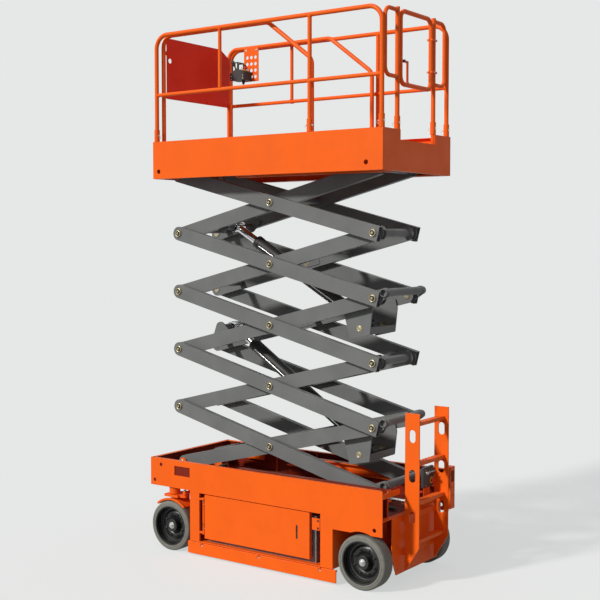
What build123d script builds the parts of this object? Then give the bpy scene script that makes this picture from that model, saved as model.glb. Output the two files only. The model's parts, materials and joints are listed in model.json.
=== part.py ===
from build123d import *
from math import cos, sin, radians
import os

# Self-propelled scissor lift, millimetres.
# +X is forward (the steered end), +Y is the left side, +Z is up, the tyres stand on z = 0.

# Overall
machine_width = 1000
chassis_front_x = 1191
chassis_rear_x = -1048
chassis_top_z = 751
nose_bottom_z = 525
tail_bottom_z = 417
skirt_front_x = 766
skirt_rear_x = -620
skirt_bottom_z = 117
side_plate = 6
floor_plate = 6

# Wheels and steering
tyre_radius = 203
tyre_width = 127
rim_radius = 160
rear_hub_x = -865
wheelbase = 1849
axle_radius = 28
hub_clearance = 0.05
arch_clearance = 28
kingpin_radius = 26
steer_arm = 110
tie_rod_radius = 12
yoke_gap = 14
tyre_guard_gap = 10
tyre_guard_plate = 8
tyre_guard_angle = 80
guard_lugs_x = (-500, 75, 650)

# Ladder
ladder_front_x = -1071
ladder_rear_x = -1191
ladder_bottom_z = 128
ladder_top_z = 1285
ladder_half_width = 216
ladder_plate = 8
rungs_z = (1200, 905, 620, 330)

# Side bays and their doors
bay_front_x = 668
bay_rear_x = -510
bay_bottom_z = 125
bay_top_z = 516
door_x = 100
door_z = 333
door_length = 1024
door_height = 352
door_skin = 4
door_rim = 34
door_hinge_x = 632
door_hinge_inset = 12
door_hinge_radius = 9

# Scissor stack
stages = 5
arm_pitch = 1946
arm_depth = 112
arm_width = 50
arm_wall = 4
rest_angle = 14.22
top_angle = 64
front_pin_x = 1051
base_pin_z = 683
inner_arm_in = 194
arm_gap = 7
pin_radius = 20
pin_head_radius = 28
pin_head = 8
boss_radius = 32
running_fit = 0.05
square_end = 45
cross_tube_radius = 30
cross_tube_wall = 5
cross_tubes = {1: (130, 1080), 2: (560, 1400), 3: (130, 1080), 4: (280, 1400), 5: (130, 1080)}
end_tubes = {1: (-72, 72), 2: (-72, 60), 4: (-72, 60)}
end_bar_stages = (2, 4, 5)
end_bar_radius = 31
end_bar_wall = 3.5
roller_radius = 34
roller_width = 30

# Lift rams: low ears and high ears by stage, along and above the inner arm's centre line
low_ears = {1: (1707, -184), 3: (1707, -184)}
high_ears = {3: (387, 96), 5: (387, -40)}
ear_foot = 20
low_ear_top = (1600, 1850)
low_ear_corner = (1850, -76)
low_ear_bottom = ((1605, -245), (1785, -249))
cross_plate_top = (1804, -198)
ear_radius = 46
ear_plate = 12
ear_in = 176
ram_pin_radius = 24
eye_radius = 42
eye_half_width = 54
stub_gap = 6
barrel_radius = 50
barrel_bore = 41
rod_show = 240
rod_radius = 30
piston_front = 310

# Platform, which reaches past the scissor stack's end pins
deck_past_rear_pin = 204
deck_past_front_pin = 92
platform_bottom_z = 3037
deck_top_z = 3140
toe_top_z = 3336
rail_top_z = 4207
mid_rail_drop = 495
tube_radius = 17
bar_radius = 15
collar_radius = 22
collar_height = 90
rail_inset = 24
gate_post_y = 265
gate_height = 540
sill_top_z = 3262
extension_inset = 60
extension_rear_x = -400

# Worked out from the above
half_width = machine_width / 2
inner_arm_out = inner_arm_in + arm_width
outer_arm_in = inner_arm_out + arm_gap
outer_arm_out = outer_arm_in + arm_width
front_hub_x = rear_hub_x + wheelbase
rise = arm_pitch * sin(radians(rest_angle))
run = arm_pitch * cos(radians(rest_angle))
rear_pin_x = front_pin_x - run
platform_rear_x = rear_pin_x - deck_past_rear_pin
platform_front_x = front_pin_x + deck_past_front_pin
platform_length = platform_front_x - platform_rear_x
track_end_x = front_pin_x - arm_pitch * cos(radians(top_angle)) + 194
track_in = outer_arm_out + 6
track_out = track_in + 46
ear_out = ear_in + ear_plate
kingpin_y = half_width - tyre_width / 2
tube_z = rail_top_z - tube_radius
mid_rail_z = rail_top_z - mid_rail_drop
gate_bottom_z = tube_z - gate_height

os.makedirs("parts", exist_ok=True)


def save(part, label):
    part.label = label
    export_step(part, f"parts/{label}.step")


def level(k):
    """Height of the pins between stage k and stage k + 1."""
    return base_pin_z + k * rise


def inner_plane(k, y):
    """Inner arm k: origin at its low front pin, x along the arm, y above it, z to the left."""
    direction = (-cos(radians(rest_angle)), 0, sin(radians(rest_angle)))
    return Plane(origin=(front_pin_x, y, level(k - 1)), x_dir=direction, z_dir=(0, 1, 0))


def outer_plane(k, y):
    """Outer arm k: origin at its low rear pin, x along the arm, y above it, z to the right."""
    direction = (cos(radians(rest_angle)), 0, sin(radians(rest_angle)))
    return Plane(origin=(rear_pin_x, y, level(k - 1)), x_dir=direction, z_dir=(0, -1, 0))


def side(y):
    """Plane across the machine at y, with local x forward, local y up and z to the right."""
    return Plane(origin=(0, y, 0), x_dir=(1, 0, 0), z_dir=(0, -1, 0))


# Chassis
with BuildPart() as chassis:
    with BuildSketch(side(half_width)):
        with BuildLine():
            Polyline(
                (chassis_front_x, nose_bottom_z), (chassis_front_x, chassis_top_z),
                (chassis_rear_x, chassis_top_z), (chassis_rear_x, tail_bottom_z),
                (skirt_rear_x, tail_bottom_z), (skirt_rear_x, skirt_bottom_z),
                (skirt_front_x, skirt_bottom_z), (skirt_front_x, nose_bottom_z),
                close=True,
            )
        make_face()
        with Locations((rear_hub_x, tyre_radius)):
            Circle(tyre_radius + arch_clearance, mode=Mode.SUBTRACT)
        with Locations(((bay_front_x + bay_rear_x) / 2, (bay_bottom_z + bay_top_z) / 2)):
            Rectangle(bay_front_x - bay_rear_x, bay_top_z - bay_bottom_z, mode=Mode.SUBTRACT)
        with Locations((1078, 700), (1147, 568), (-980, 460)):
            Circle(15, mode=Mode.SUBTRACT)
        with Locations((850, 667)):
            Rectangle(165, 77, mode=Mode.SUBTRACT)
    extrude(amount=side_plate)
    # recessed pocket behind the front lifting slot
    with Locations((850, half_width - side_plate - 15, 667)):
        Box(185, 30, 97)
        Box(165, 30, 77, mode=Mode.SUBTRACT)
    with Locations((850, half_width - side_plate - 32, 667)):
        Box(185, 4, 97)
    # track for the lower rollers, open towards the arms
    with BuildSketch(Plane.YZ.offset(chassis_rear_x + 40)):
        with Locations(((track_in + track_out) / 2 + 3, base_pin_z)):
            Rectangle(track_out - track_in + 6, 2 * roller_radius + 17)
        with Locations(((track_in + track_out) / 2, base_pin_z)):
            Rectangle(track_out - track_in, 2 * roller_radius + 1, mode=Mode.SUBTRACT)
    extrude(amount=track_end_x - chassis_rear_x - 40)
    # web that carries the track down to the floor
    web_length = track_end_x - chassis_rear_x - 40
    with Locations((track_end_x - web_length / 2, track_out + 3, (nose_bottom_z + base_pin_z) / 2)):
        Box(web_length, 6, base_pin_z - nose_bottom_z)
    # shelf across the rear corner, over the track's end
    with Locations((chassis_rear_x + 3, half_width - 124, chassis_top_z - 41)):
        Box(6, 240, 40)
    # inner wall of the side bay
    with Locations(((skirt_front_x + skirt_rear_x) / 2, 230, (skirt_bottom_z + nose_bottom_z) / 2)):
        Box(skirt_front_x - skirt_rear_x, 6, nose_bottom_z - skirt_bottom_z)
    # side bay floor and its two ends
    with Locations(((skirt_front_x + skirt_rear_x) / 2, (half_width + 227) / 2, skirt_bottom_z + 3)):
        Box(skirt_front_x - skirt_rear_x, half_width - 227, 6)
    for wall_x in (skirt_front_x - 3, skirt_rear_x + 3):
        with Locations((wall_x, (half_width + 227) / 2, (skirt_bottom_z + nose_bottom_z) / 2)):
            Box(6, half_width - 227, nose_bottom_z - skirt_bottom_z)
    # hinge lugs of the pothole guard, and of the tray door
    for lug_x in guard_lugs_x:
        with BuildSketch(Plane.YZ.offset(lug_x - 6)):
            with Locations((half_width - 16, 104)):
                Circle(14)
            with Locations((half_width - 16, 112)):
                Rectangle(28, 14)
            with Locations((half_width - 16, 104)):
                Circle(8 + running_fit, mode=Mode.SUBTRACT)
        extrude(amount=12)
    for lug_z in (200, 470):
        with Locations((646, half_width - 12, lug_z)):
            Box(52, 24, 14)
        with Locations((door_hinge_x, half_width - door_hinge_inset, lug_z)):
            Cylinder(door_hinge_radius + running_fit, 14, mode=Mode.SUBTRACT)
    # clevis plates for the fixed front pins
    for ear_y in (inner_arm_in - 12, inner_arm_out + 12):
        with BuildSketch(side(ear_y + 6)):
            with Locations((front_pin_x, base_pin_z)):
                Circle(38)
            with Locations((front_pin_x - 70, nose_bottom_z + 10), (front_pin_x + 70, nose_bottom_z + 10)):
                Circle(8)
            make_hull()
            with Locations((front_pin_x, base_pin_z)):
                Circle(pin_radius + running_fit, mode=Mode.SUBTRACT)
        extrude(amount=12)
    # kingpin bearing housing
    with Locations((front_hub_x, kingpin_y, nose_bottom_z - 27)):
        Cylinder(45, 66)
    mirror(about=Plane.XZ)
    # floor of the tub
    with Locations(((chassis_front_x + chassis_rear_x) / 2, 0, nose_bottom_z + floor_plate / 2)):
        Box(chassis_front_x - chassis_rear_x, machine_width, floor_plate)
    for y in (kingpin_y, -kingpin_y):
        with Locations((front_hub_x, y, nose_bottom_z - 10)):
            Cylinder(kingpin_radius + running_fit, 100, mode=Mode.SUBTRACT)
    # front plate
    with Locations((chassis_front_x - 3, 0, (nose_bottom_z + chassis_top_z) / 2)):
        Box(6, machine_width, chassis_top_z - nose_bottom_z)
    # rear plate between the wheels, tapered below
    plate_y = half_width - tyre_width - 7
    with BuildSketch(Plane.YZ.offset(chassis_rear_x)):
        with BuildLine():
            Polyline(
                (-plate_y + 60, 100), (plate_y - 60, 100), (plate_y, 240), (plate_y, nose_bottom_z + 3),
                (-plate_y, nose_bottom_z + 3), (-plate_y, 240), close=True,
            )
        make_face()
    extrude(amount=6)
    # valve housing at the right rear corner
    with Locations((chassis_rear_x - 24, -half_width + 35, 615)):
        Box(52, 70, 330)
    with Locations((chassis_rear_x - 44, -half_width + 35, 705)):
        Box(14, 50, 90, mode=Mode.SUBTRACT)
    # rear axle beam
    with Locations((rear_hub_x, 0, tyre_radius)):
        Box(120, 620, 110)
    with Locations((rear_hub_x, 0, (tyre_radius + nose_bottom_z) / 2)):
        Box(80, 400, nose_bottom_z - tyre_radius)
    for sign in (-1, 1):
        with BuildSketch(side(half_width - 50 if sign > 0 else -310)):
            with Locations((rear_hub_x, tyre_radius)):
                Circle(axle_radius)
        extrude(amount=half_width - 50 - 310)
save(chassis.part, "chassis")

# Fixed front pins
with BuildPart() as base_pins:
    with BuildSketch(side(inner_arm_out + 26)):
        with Locations((front_pin_x, base_pin_z)):
            Circle(pin_radius)
    extrude(amount=inner_arm_out + 26 - inner_arm_in + 26)
    with BuildSketch(side(inner_arm_out + 26)):
        with Locations((front_pin_x, base_pin_z)):
            Circle(pin_head_radius)
    extrude(amount=7.5)
    mirror(about=Plane.XZ)
save(base_pins.part, "base_pins")


# Wheels: a solid tyre on a dished rim
def make_tyre(x, sign):
    outer_face = sign * half_width
    with BuildPart() as tyre:
        with BuildSketch(side(max(outer_face, outer_face - sign * tyre_width))):
            with Locations((x, tyre_radius)):
                Circle(tyre_radius)
                Circle(rim_radius, mode=Mode.SUBTRACT)
        extrude(amount=tyre_width)
        outside = tyre.edges().filter_by(GeomType.CIRCLE).filter_by(
            lambda edge: abs(edge.radius - tyre_radius) < 1
        )
        fillet(outside, 12)
    return tyre.part


def make_rim(x, sign):
    outer_face = sign * half_width
    inner_face = sign * (half_width - tyre_width)
    with BuildPart() as rim:
        with BuildSketch(side(max(outer_face, inner_face))):
            with Locations((x, tyre_radius)):
                Circle(rim_radius)
        extrude(amount=tyre_width)
        # dish open to the outside, with a raised hub
        with BuildSketch(side(max(outer_face, sign * (half_width - 75)))):
            with Locations((x, tyre_radius)):
                Circle(rim_radius - 8)
                Circle(52, mode=Mode.SUBTRACT)
        extrude(amount=75, mode=Mode.SUBTRACT)
        with BuildSketch(side(max(sign * half_width, sign * (half_width - 24)))):
            with Locations((x, tyre_radius)):
                Circle(60)
        extrude(amount=24, mode=Mode.SUBTRACT)
        with BuildSketch(side(max(inner_face, inner_face + sign * 80))):
            with Locations((x, tyre_radius)):
                Circle(axle_radius + hub_clearance)
        extrude(amount=80, mode=Mode.SUBTRACT)
    return rim.part


for end, hub_x in (("front", front_hub_x), ("rear", rear_hub_x)):
    for hand, sign in (("left", 1), ("right", -1)):
        save(make_tyre(hub_x, sign), f"{end}_{hand}_tyre")
        save(make_rim(hub_x, sign), f"{end}_{hand}_rim")


def add_tyre_guard(inner_radius, outer_radius, width):
    """Arched plate over the front wheel, from the machine's side inwards."""
    first = 90 - tyre_guard_angle / 2
    last = 90 + tyre_guard_angle / 2
    with BuildSketch(side(half_width - 6)) as arch:
        with BuildLine():
            low = CenterArc((front_hub_x, tyre_radius), inner_radius, first, tyre_guard_angle)
            high = CenterArc((front_hub_x, tyre_radius), outer_radius, first, tyre_guard_angle)
            Line(low @ 0, high @ 0)
            Line(low @ 1, high @ 1)
        make_face()
    extrude(arch.sketch, amount=width)


# Steering yokes: a leg beside the wheel, a bridge over it and the kingpin
def make_yoke(sign):
    leg_out = half_width - tyre_width - yoke_gap
    with BuildPart() as yoke:
        with BuildSketch(side(leg_out)):
            with Locations((front_hub_x, tyre_radius)):
                Circle(62)
            with Locations((front_hub_x - 60, 448), (front_hub_x + 60, 448)):
                Circle(12)
            make_hull()
        extrude(amount=24)
        with Locations((front_hub_x, (leg_out - 24 + kingpin_y + 50) / 2, 450)):
            Box(144, kingpin_y + 50 - leg_out + 24, 20)
        with Locations((front_hub_x, kingpin_y, (440 + nose_bottom_z + 5) / 2)):
            Cylinder(kingpin_radius, nose_bottom_z + 5 - 440)
        with BuildSketch(side(leg_out + yoke_gap + 70)):
            with Locations((front_hub_x, tyre_radius)):
                Circle(axle_radius)
        extrude(amount=yoke_gap + 72)
        # steering arm to the tie rod
        with BuildSketch(Plane.XY.offset(440)):
            with Locations((front_hub_x, kingpin_y)):
                Circle(40)
            with Locations((front_hub_x - steer_arm, kingpin_y)):
                Circle(20)
            make_hull()
            with Locations((front_hub_x - steer_arm, kingpin_y)):
                Circle(10 + running_fit, mode=Mode.SUBTRACT)
        extrude(amount=20)
        # guard over the tyre, with a lip at its outer edge
        guard_in = tyre_radius + tyre_guard_gap
        add_tyre_guard(guard_in, guard_in + tyre_guard_plate, half_width - 6 - leg_out + 10)
        add_tyre_guard(guard_in, guard_in + 2 * tyre_guard_plate, 5)
        if sign < 0:
            mirror(about=Plane.XZ, mode=Mode.REPLACE)
    return yoke.part


save(make_yoke(1), "left_yoke")
save(make_yoke(-1), "right_yoke")

# Tie rod between the steering arms
with BuildPart() as tie_rod:
    with BuildSketch(Plane.XZ.offset(-kingpin_y)):
        with Locations((front_hub_x - steer_arm, 478)):
            Circle(tie_rod_radius)
    extrude(amount=2 * kingpin_y)
    with Locations((front_hub_x - steer_arm, kingpin_y, 478), (front_hub_x - steer_arm, -kingpin_y, 478)):
        Cylinder(18, 30)
    with Locations((front_hub_x - steer_arm, kingpin_y, 461), (front_hub_x - steer_arm, -kingpin_y, 461)):
        Cylinder(10, 46)
save(tie_rod.part, "tie_rod")


# Scissor arms
def make_inner_arms(k):
    ends_and_centre = ((0, 0), (arm_pitch / 2, 0), (arm_pitch, 0))
    with BuildPart() as inner_arms:
        with BuildSketch(inner_plane(k, inner_arm_in)):
            with Locations((arm_pitch / 2, 0)):
                SlotCenterToCenter(arm_pitch, arm_depth)
        extrude(amount=arm_width)
        with BuildSketch(inner_plane(k, inner_arm_in + arm_wall)):
            with Locations((arm_pitch / 2, 0)):
                Rectangle(arm_pitch + 2 * arm_depth, arm_depth - 2 * arm_wall)
        extrude(amount=arm_width - 2 * arm_wall, mode=Mode.SUBTRACT)
        with BuildSketch(inner_plane(k, inner_arm_in)):
            with Locations(*ends_and_centre):
                Circle(boss_radius)
        extrude(amount=arm_width)
        with BuildSketch(inner_plane(k, inner_arm_in)):
            with Locations(*ends_and_centre):
                Circle(pin_radius + running_fit)
        extrude(amount=arm_width, mode=Mode.SUBTRACT)
        # ears for the lift rams on the odd stages
        if k in low_ears:
            add_low_ear(k, low_ears[k])
        if k in high_ears:
            add_high_ear(k, high_ears[k])
            with BuildSketch(inner_plane(k, eye_half_width + stub_gap)):
                with Locations(high_ears[k]):
                    Circle(ram_pin_radius)
            extrude(amount=ear_in - eye_half_width - stub_gap + 2)
        mirror(about=Plane.XZ)
        with BuildSketch(inner_plane(k, -inner_arm_in - 2)):
            with Locations(*((along, 0) for along in cross_tubes[k])):
                Circle(cross_tube_radius)
                Circle(cross_tube_radius - cross_tube_wall, mode=Mode.SUBTRACT)
            if k in end_bar_stages:
                with Locations((arm_pitch, 0)):
                    Circle(end_bar_radius)
                    Circle(end_bar_radius - end_bar_wall, mode=Mode.SUBTRACT)
        extrude(amount=2 * inner_arm_in + 4)
        if k in low_ears:
            lean = Vector(*cross_plate_top) - Vector(*low_ear_bottom[1])
            inward = Vector(-lean.Y, lean.X).normalized() * ear_plate
            with BuildSketch(inner_plane(k, -ear_in - 2)):
                with BuildLine():
                    Polyline(
                        low_ear_bottom[1], cross_plate_top, Vector(*cross_plate_top) + inward,
                        Vector(*low_ear_bottom[1]) + inward, close=True,
                    )
                make_face()
            extrude(amount=2 * ear_in + 4)
    return inner_arms.part


def add_low_ear(k, at):
    """Tapered plate under the arm, bored for the ram's pin."""
    with BuildSketch(inner_plane(k, ear_in)) as plate:
        with BuildLine():
            Polyline(
                (low_ear_top[0], -6), (low_ear_top[1], -6), low_ear_corner,
                low_ear_bottom[1], low_ear_bottom[0], close=True,
            )
        make_face()
        with Locations(at):
            Circle(ram_pin_radius + running_fit, mode=Mode.SUBTRACT)
    extrude(plate.sketch, amount=ear_plate)
    add_pad(k, at[0], -ear_foot)


def add_pad(k, along, foot):
    """Spacer between an ear plate and its arm."""
    with BuildSketch(inner_plane(k, ear_out)) as pad:
        with Locations((along, foot)):
            Rectangle(180, 28)
    extrude(pad.sketch, amount=inner_arm_in - ear_out)


def add_high_ear(k, at):
    """Rounded plate that carries the stub of the ram's upper eye."""
    foot = ear_foot if at[1] > 0 else -ear_foot
    with BuildSketch(inner_plane(k, ear_in)) as plate:
        with Locations(at):
            Circle(ear_radius)
        with Locations((at[0] - 90, foot), (at[0] + 90, foot)):
            Circle(14)
        make_hull()
    extrude(plate.sketch, amount=ear_plate)
    add_pad(k, at[0], foot)


def make_outer_arms(k):
    pins_at = ((0, 0), (arm_pitch / 2, 0), (arm_pitch, 0))
    with BuildPart() as outer_arms:
        with BuildSketch(outer_plane(k, outer_arm_out)):
            with Locations(((arm_pitch - square_end) / 2, 0)):
                Rectangle(arm_pitch + square_end, arm_depth)
            with Locations((arm_pitch, 0)):
                Circle(arm_depth / 2)
        extrude(amount=arm_width)
        with BuildSketch(outer_plane(k, outer_arm_out - arm_wall)):
            with Locations((arm_pitch / 2, 0)):
                Rectangle(arm_pitch + 2 * arm_depth, arm_depth - 2 * arm_wall)
        extrude(amount=arm_width - 2 * arm_wall, mode=Mode.SUBTRACT)
        with BuildSketch(outer_plane(k, outer_arm_out)):
            with Locations(*pins_at):
                Circle(boss_radius)
        extrude(amount=arm_width + arm_gap - 0.5)
        # gusset that carries the end tube
        if k in end_tubes:
            with BuildSketch(outer_plane(k, outer_arm_in + 10)):
                with Locations(end_tubes[k]):
                    Circle(cross_tube_radius + 6)
                Circle(arm_depth / 2 - 6)
                make_hull()
            extrude(amount=10)
        with BuildSketch(outer_plane(k, outer_arm_out)):
            with Locations(*pins_at):
                Circle(pin_radius + running_fit)
        extrude(amount=arm_width + arm_gap, mode=Mode.SUBTRACT)
        mirror(about=Plane.XZ)
        if k in end_tubes:
            with BuildSketch(outer_plane(k, outer_arm_out - 10)):
                with Locations(end_tubes[k]):
                    Circle(cross_tube_radius)
                    Circle(cross_tube_radius - cross_tube_wall, mode=Mode.SUBTRACT)
            extrude(amount=2 * outer_arm_out - 20)
    return outer_arms.part


# Hinge pins of one stage, carried by its outer arms: rear (not at the base), centre and front
def make_pins(k):
    places = [(arm_pitch / 2, 0)]
    if k > 1:
        places.append((0, 0))
    if k < stages:
        places.append((arm_pitch, 0))
    inside = inner_arm_in - 6
    with BuildPart() as pins:
        with BuildSketch(outer_plane(k, outer_arm_out + 1)):
            with Locations(*places):
                Circle(pin_radius)
        extrude(amount=outer_arm_out + 1 - inside)
        with BuildSketch(outer_plane(k, outer_arm_out + pin_head)):
            with Locations(*places):
                Circle(pin_head_radius)
        extrude(amount=pin_head - 0.3)
        with BuildSketch(outer_plane(k, inner_arm_in - 0.5)):
            with Locations(*places):
                Circle(pin_radius + 5)
        extrude(amount=5)
        mirror(about=Plane.XZ)
    return pins.part


for k in range(1, stages + 1):
    save(make_inner_arms(k), f"inner_arms_{k}")
    save(make_outer_arms(k), f"outer_arms_{k}")
    save(make_pins(k), f"pins_{k}")

# Roller on its pin at the low rear end of the first outer arms
with BuildPart() as base_rollers:
    with BuildSketch(side(track_out - 4)):
        with Locations((rear_pin_x, base_pin_z)):
            Circle(pin_radius)
    extrude(amount=track_out - 4 - outer_arm_in + 4)
    with BuildSketch(side(track_out - 8)):
        with Locations((rear_pin_x, base_pin_z)):
            Circle(roller_radius)
    extrude(amount=roller_width)
    mirror(about=Plane.XZ)
save(base_rollers.part, "base_rollers")

# Roller on its pin at the high rear end of the last inner arms
with BuildPart() as deck_rollers:
    with BuildSketch(side(track_out - 4)):
        with Locations((rear_pin_x, level(stages))):
            Circle(pin_radius)
    extrude(amount=track_out - 4 - inner_arm_in + 4)
    with BuildSketch(side(track_out - 8)):
        with Locations((rear_pin_x, level(stages))):
            Circle(roller_radius)
    extrude(amount=roller_width)
    mirror(about=Plane.XZ)
save(deck_rollers.part, "deck_rollers")

# Pins between the last outer arms and the deck
with BuildPart() as deck_pins:
    with BuildSketch(side(track_in + 20)):
        with Locations((front_pin_x, level(stages))):
            Circle(pin_radius)
    extrude(amount=track_in + 20 - outer_arm_in + 4)
    mirror(about=Plane.XZ)
save(deck_pins.part, "deck_pins")


# Lift rams between an inner arm and the one two stages up
def ram_frame(k):
    low = inner_plane(k, 0).from_local_coords(low_ears[k])
    high = inner_plane(k + 2, 0).from_local_coords(high_ears[k + 2])
    low = Vector(low)
    high = Vector(high)
    return low, high, (high - low).normalized(), (high - low).length


def ram_section(k, along):
    """Plane across the ram at a distance from its low pin."""
    low, high, direction, length = ram_frame(k)
    return Plane(origin=low + direction * along, x_dir=(0, 1, 0), z_dir=direction)


def ram_side(k, at_high, y):
    low, high, direction, length = ram_frame(k)
    centre = high if at_high else low
    return Plane(origin=(centre.X, y, centre.Z), x_dir=(1, 0, 0), z_dir=(0, -1, 0))


def make_barrel(k):
    barrel_length = ram_frame(k)[3] - rod_show
    with BuildPart() as barrel:
        with BuildSketch(ram_section(k, 30)):
            Circle(barrel_radius)
        extrude(amount=barrel_length - 30)
        with BuildSketch(ram_section(k, 70)):
            Circle(barrel_bore)
        extrude(amount=barrel_length - 70 - 50, mode=Mode.SUBTRACT)
        with BuildSketch(ram_section(k, barrel_length - 60)):
            Circle(rod_radius + running_fit)
        extrude(amount=60, mode=Mode.SUBTRACT)
        with BuildSketch(ram_side(k, False, eye_half_width)):
            Circle(eye_radius)
        extrude(amount=2 * eye_half_width)
        with BuildSketch(ram_side(k, False, eye_half_width)):
            Circle(ram_pin_radius + running_fit)
        extrude(amount=2 * eye_half_width, mode=Mode.SUBTRACT)
    return barrel.part


def make_rod(k):
    length = ram_frame(k)[3]
    with BuildPart() as rod:
        with BuildSketch(ram_section(k, piston_front)):
            Circle(rod_radius)
        extrude(amount=length - piston_front - 20)
        with BuildSketch(ram_section(k, piston_front - 40)):
            Circle(barrel_bore - running_fit)
        extrude(amount=40)
        with BuildSketch(ram_side(k, True, eye_half_width)):
            Circle(eye_radius)
        extrude(amount=2 * eye_half_width)
        with BuildSketch(ram_side(k, True, eye_half_width)):
            Circle(ram_pin_radius)
        extrude(amount=2 * eye_half_width, mode=Mode.SUBTRACT)
    return rod.part


def make_ram_pin(k):
    with BuildPart() as ram_pin:
        with BuildSketch(ram_side(k, False, ear_out + 2)):
            Circle(ram_pin_radius)
        extrude(amount=2 * ear_out + 4)
    return ram_pin.part


for place, k in (("lower", 1), ("upper", 3)):
    save(make_barrel(k), f"{place}_ram_barrel")
    save(make_rod(k), f"{place}_ram_rod")
    save(make_ram_pin(k), f"{place}_ram_pin")

# Ladder: two slotted side plates, rungs between them and two bars against the rear plate
ladder_x = (ladder_front_x + ladder_rear_x) / 2
with BuildPart() as ladder:
    with BuildSketch(side(ladder_half_width + ladder_plate)):
        with BuildLine():
            Polyline(
                (ladder_front_x, ladder_bottom_z), (ladder_front_x - 14, ladder_bottom_z),
                (ladder_rear_x, 300), (ladder_rear_x, ladder_top_z),
                (ladder_front_x, ladder_top_z), close=True,
            )
        make_face()
        with Locations((ladder_x, 1117), (ladder_x, 825), (ladder_x, 520)):
            SlotOverall(95, 52, rotation=90, mode=Mode.SUBTRACT)
    extrude(amount=ladder_plate)
    mirror(about=Plane.XZ)
    for rung_z in rungs_z:
        with Locations((ladder_x, 0, rung_z)):
            Box(56, 2 * ladder_half_width + 4, 26)
    for bar_z in (500, 250):
        with Locations((chassis_rear_x - 14, 0, bar_z)):
            Box(28, 2 * ladder_half_width + 4, 40)
save(ladder.part, "ladder")

# Tray doors in the side bays: a rim folded inwards round the edge, and the face on it
for hand, sign in (("left", 1), ("right", -1)):
    face_y = sign * (half_width - door_skin / 2)
    hinge_y = sign * (half_width - door_hinge_inset)
    with BuildPart() as tray_door:
        with Locations((door_x, sign * (half_width - door_rim / 2), door_z)):
            Box(door_length, door_rim, door_height)
            Box(door_length - 2 * door_skin, 60, door_height - 2 * door_skin, mode=Mode.SUBTRACT)
        with Locations((door_x, face_y, door_z)):
            Box(door_length, door_skin, door_height)
        # slot for the handle
        with Locations((-295, face_y, 347)):
            Box(16, 20, 106, mode=Mode.SUBTRACT)
        # hinge rod and its two straps
        with Locations((door_hinge_x, hinge_y, door_z)):
            Cylinder(door_hinge_radius, 300)
        with Locations((door_hinge_x - 12, hinge_y, 430), (door_hinge_x - 12, hinge_y, 236)):
            Box(30, 8, 40)
    save(tray_door.part, f"{hand}_tray_door")

# Battery and hydraulic blocks in the side bays
block_in = 250
block_out = half_width - 50
for label, sign in (("battery_block", 1), ("power_unit", -1)):
    with BuildPart() as block:
        with Locations((80, sign * (block_in + block_out) / 2, skirt_bottom_z + 6 + 177)):
            Box(1040, block_out - block_in, 354)
    save(block.part, label)

# Pothole guards, hanging down from lugs under the skirt
for hand, sign in (("left", 1), ("right", -1)):
    with BuildPart() as pothole_guard:
        with Locations((75, sign * (half_width - 10), 60)):
            Box(1440, 8, 92)
        with Locations(*((lug_x, sign * (half_width - 10), 100) for lug_x in guard_lugs_x)):
            Box(24, 8, 34, mode=Mode.SUBTRACT)
        with BuildSketch(Plane.YZ.offset(75 - 720)):
            with Locations((sign * (half_width - 16), 104)):
                Circle(8)
        extrude(amount=1440)
    save(pothole_guard.part, f"{hand}_pothole_guard")

# Platform frame
with BuildPart() as platform_frame:
    mid_x = (platform_rear_x + platform_front_x) / 2
    with BuildSketch(side(half_width)):
        with Locations((mid_x, (platform_bottom_z + toe_top_z) / 2)):
            Rectangle(platform_length, toe_top_z - platform_bottom_z)
        with Locations((platform_front_x - 60, 3095), (platform_rear_x + 140, 3095)):
            Circle(18, mode=Mode.SUBTRACT)
    extrude(amount=side_plate)
    with BuildSketch(Plane.YZ.offset(platform_rear_x + 40)):
        with Locations((track_out + 3, deck_top_z - 43)):
            Rectangle(6, 80)
        with Locations(((track_in + track_out) / 2 + 3, level(stages))):
            Rectangle(track_out - track_in + 6, 2 * roller_radius + 17)
        with Locations(((track_in + track_out) / 2, level(stages))):
            Rectangle(track_out - track_in, 2 * roller_radius + 1, mode=Mode.SUBTRACT)
    extrude(amount=track_end_x - platform_rear_x - 40)
    with BuildSketch(side(track_in + 13)):
        with Locations((front_pin_x, level(stages))):
            Circle(38)
        with Locations((front_pin_x - 60, deck_top_z - 9), (front_pin_x + 60, deck_top_z - 9)):
            Circle(8)
        make_hull()
        with Locations((front_pin_x, level(stages))):
            Circle(pin_radius + running_fit, mode=Mode.SUBTRACT)
    extrude(amount=12)
    mirror(about=Plane.XZ)
    with Locations((mid_x, 0, deck_top_z - 1.5)):
        Box(platform_length, machine_width, 3)
    with Locations((platform_rear_x + 3, 0, (platform_bottom_z + sill_top_z) / 2)):
        Box(6, machine_width, sill_top_z - platform_bottom_z)
    for toe_y in (375, -375):
        with Locations((platform_rear_x + 3, toe_y, (sill_top_z + toe_top_z) / 2)):
            Box(6, 240, toe_top_z - sill_top_z)
    with Locations((platform_front_x - 3, 0, (platform_bottom_z + deck_top_z) / 2)):
        Box(6, machine_width, deck_top_z - platform_bottom_z)
save(platform_frame.part, "platform_frame")


def tube(points, bend=0, radius=tube_radius):
    with BuildLine() as path:
        if len(points) > 2:
            FilletPolyline(*points, radius=bend)
        else:
            Line(*points)
    with BuildSketch(Plane(origin=path.line @ 0, z_dir=path.line % 0)) as section:
        Circle(radius)
    sweep(section.sketch, path=path.line)


def collar(x, y):
    """Sleeve round a guard-rail post, over the toe board."""
    with Locations((x, y, toe_top_z + 4 + collar_height / 2)):
        Cylinder(collar_radius, collar_height)


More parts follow.
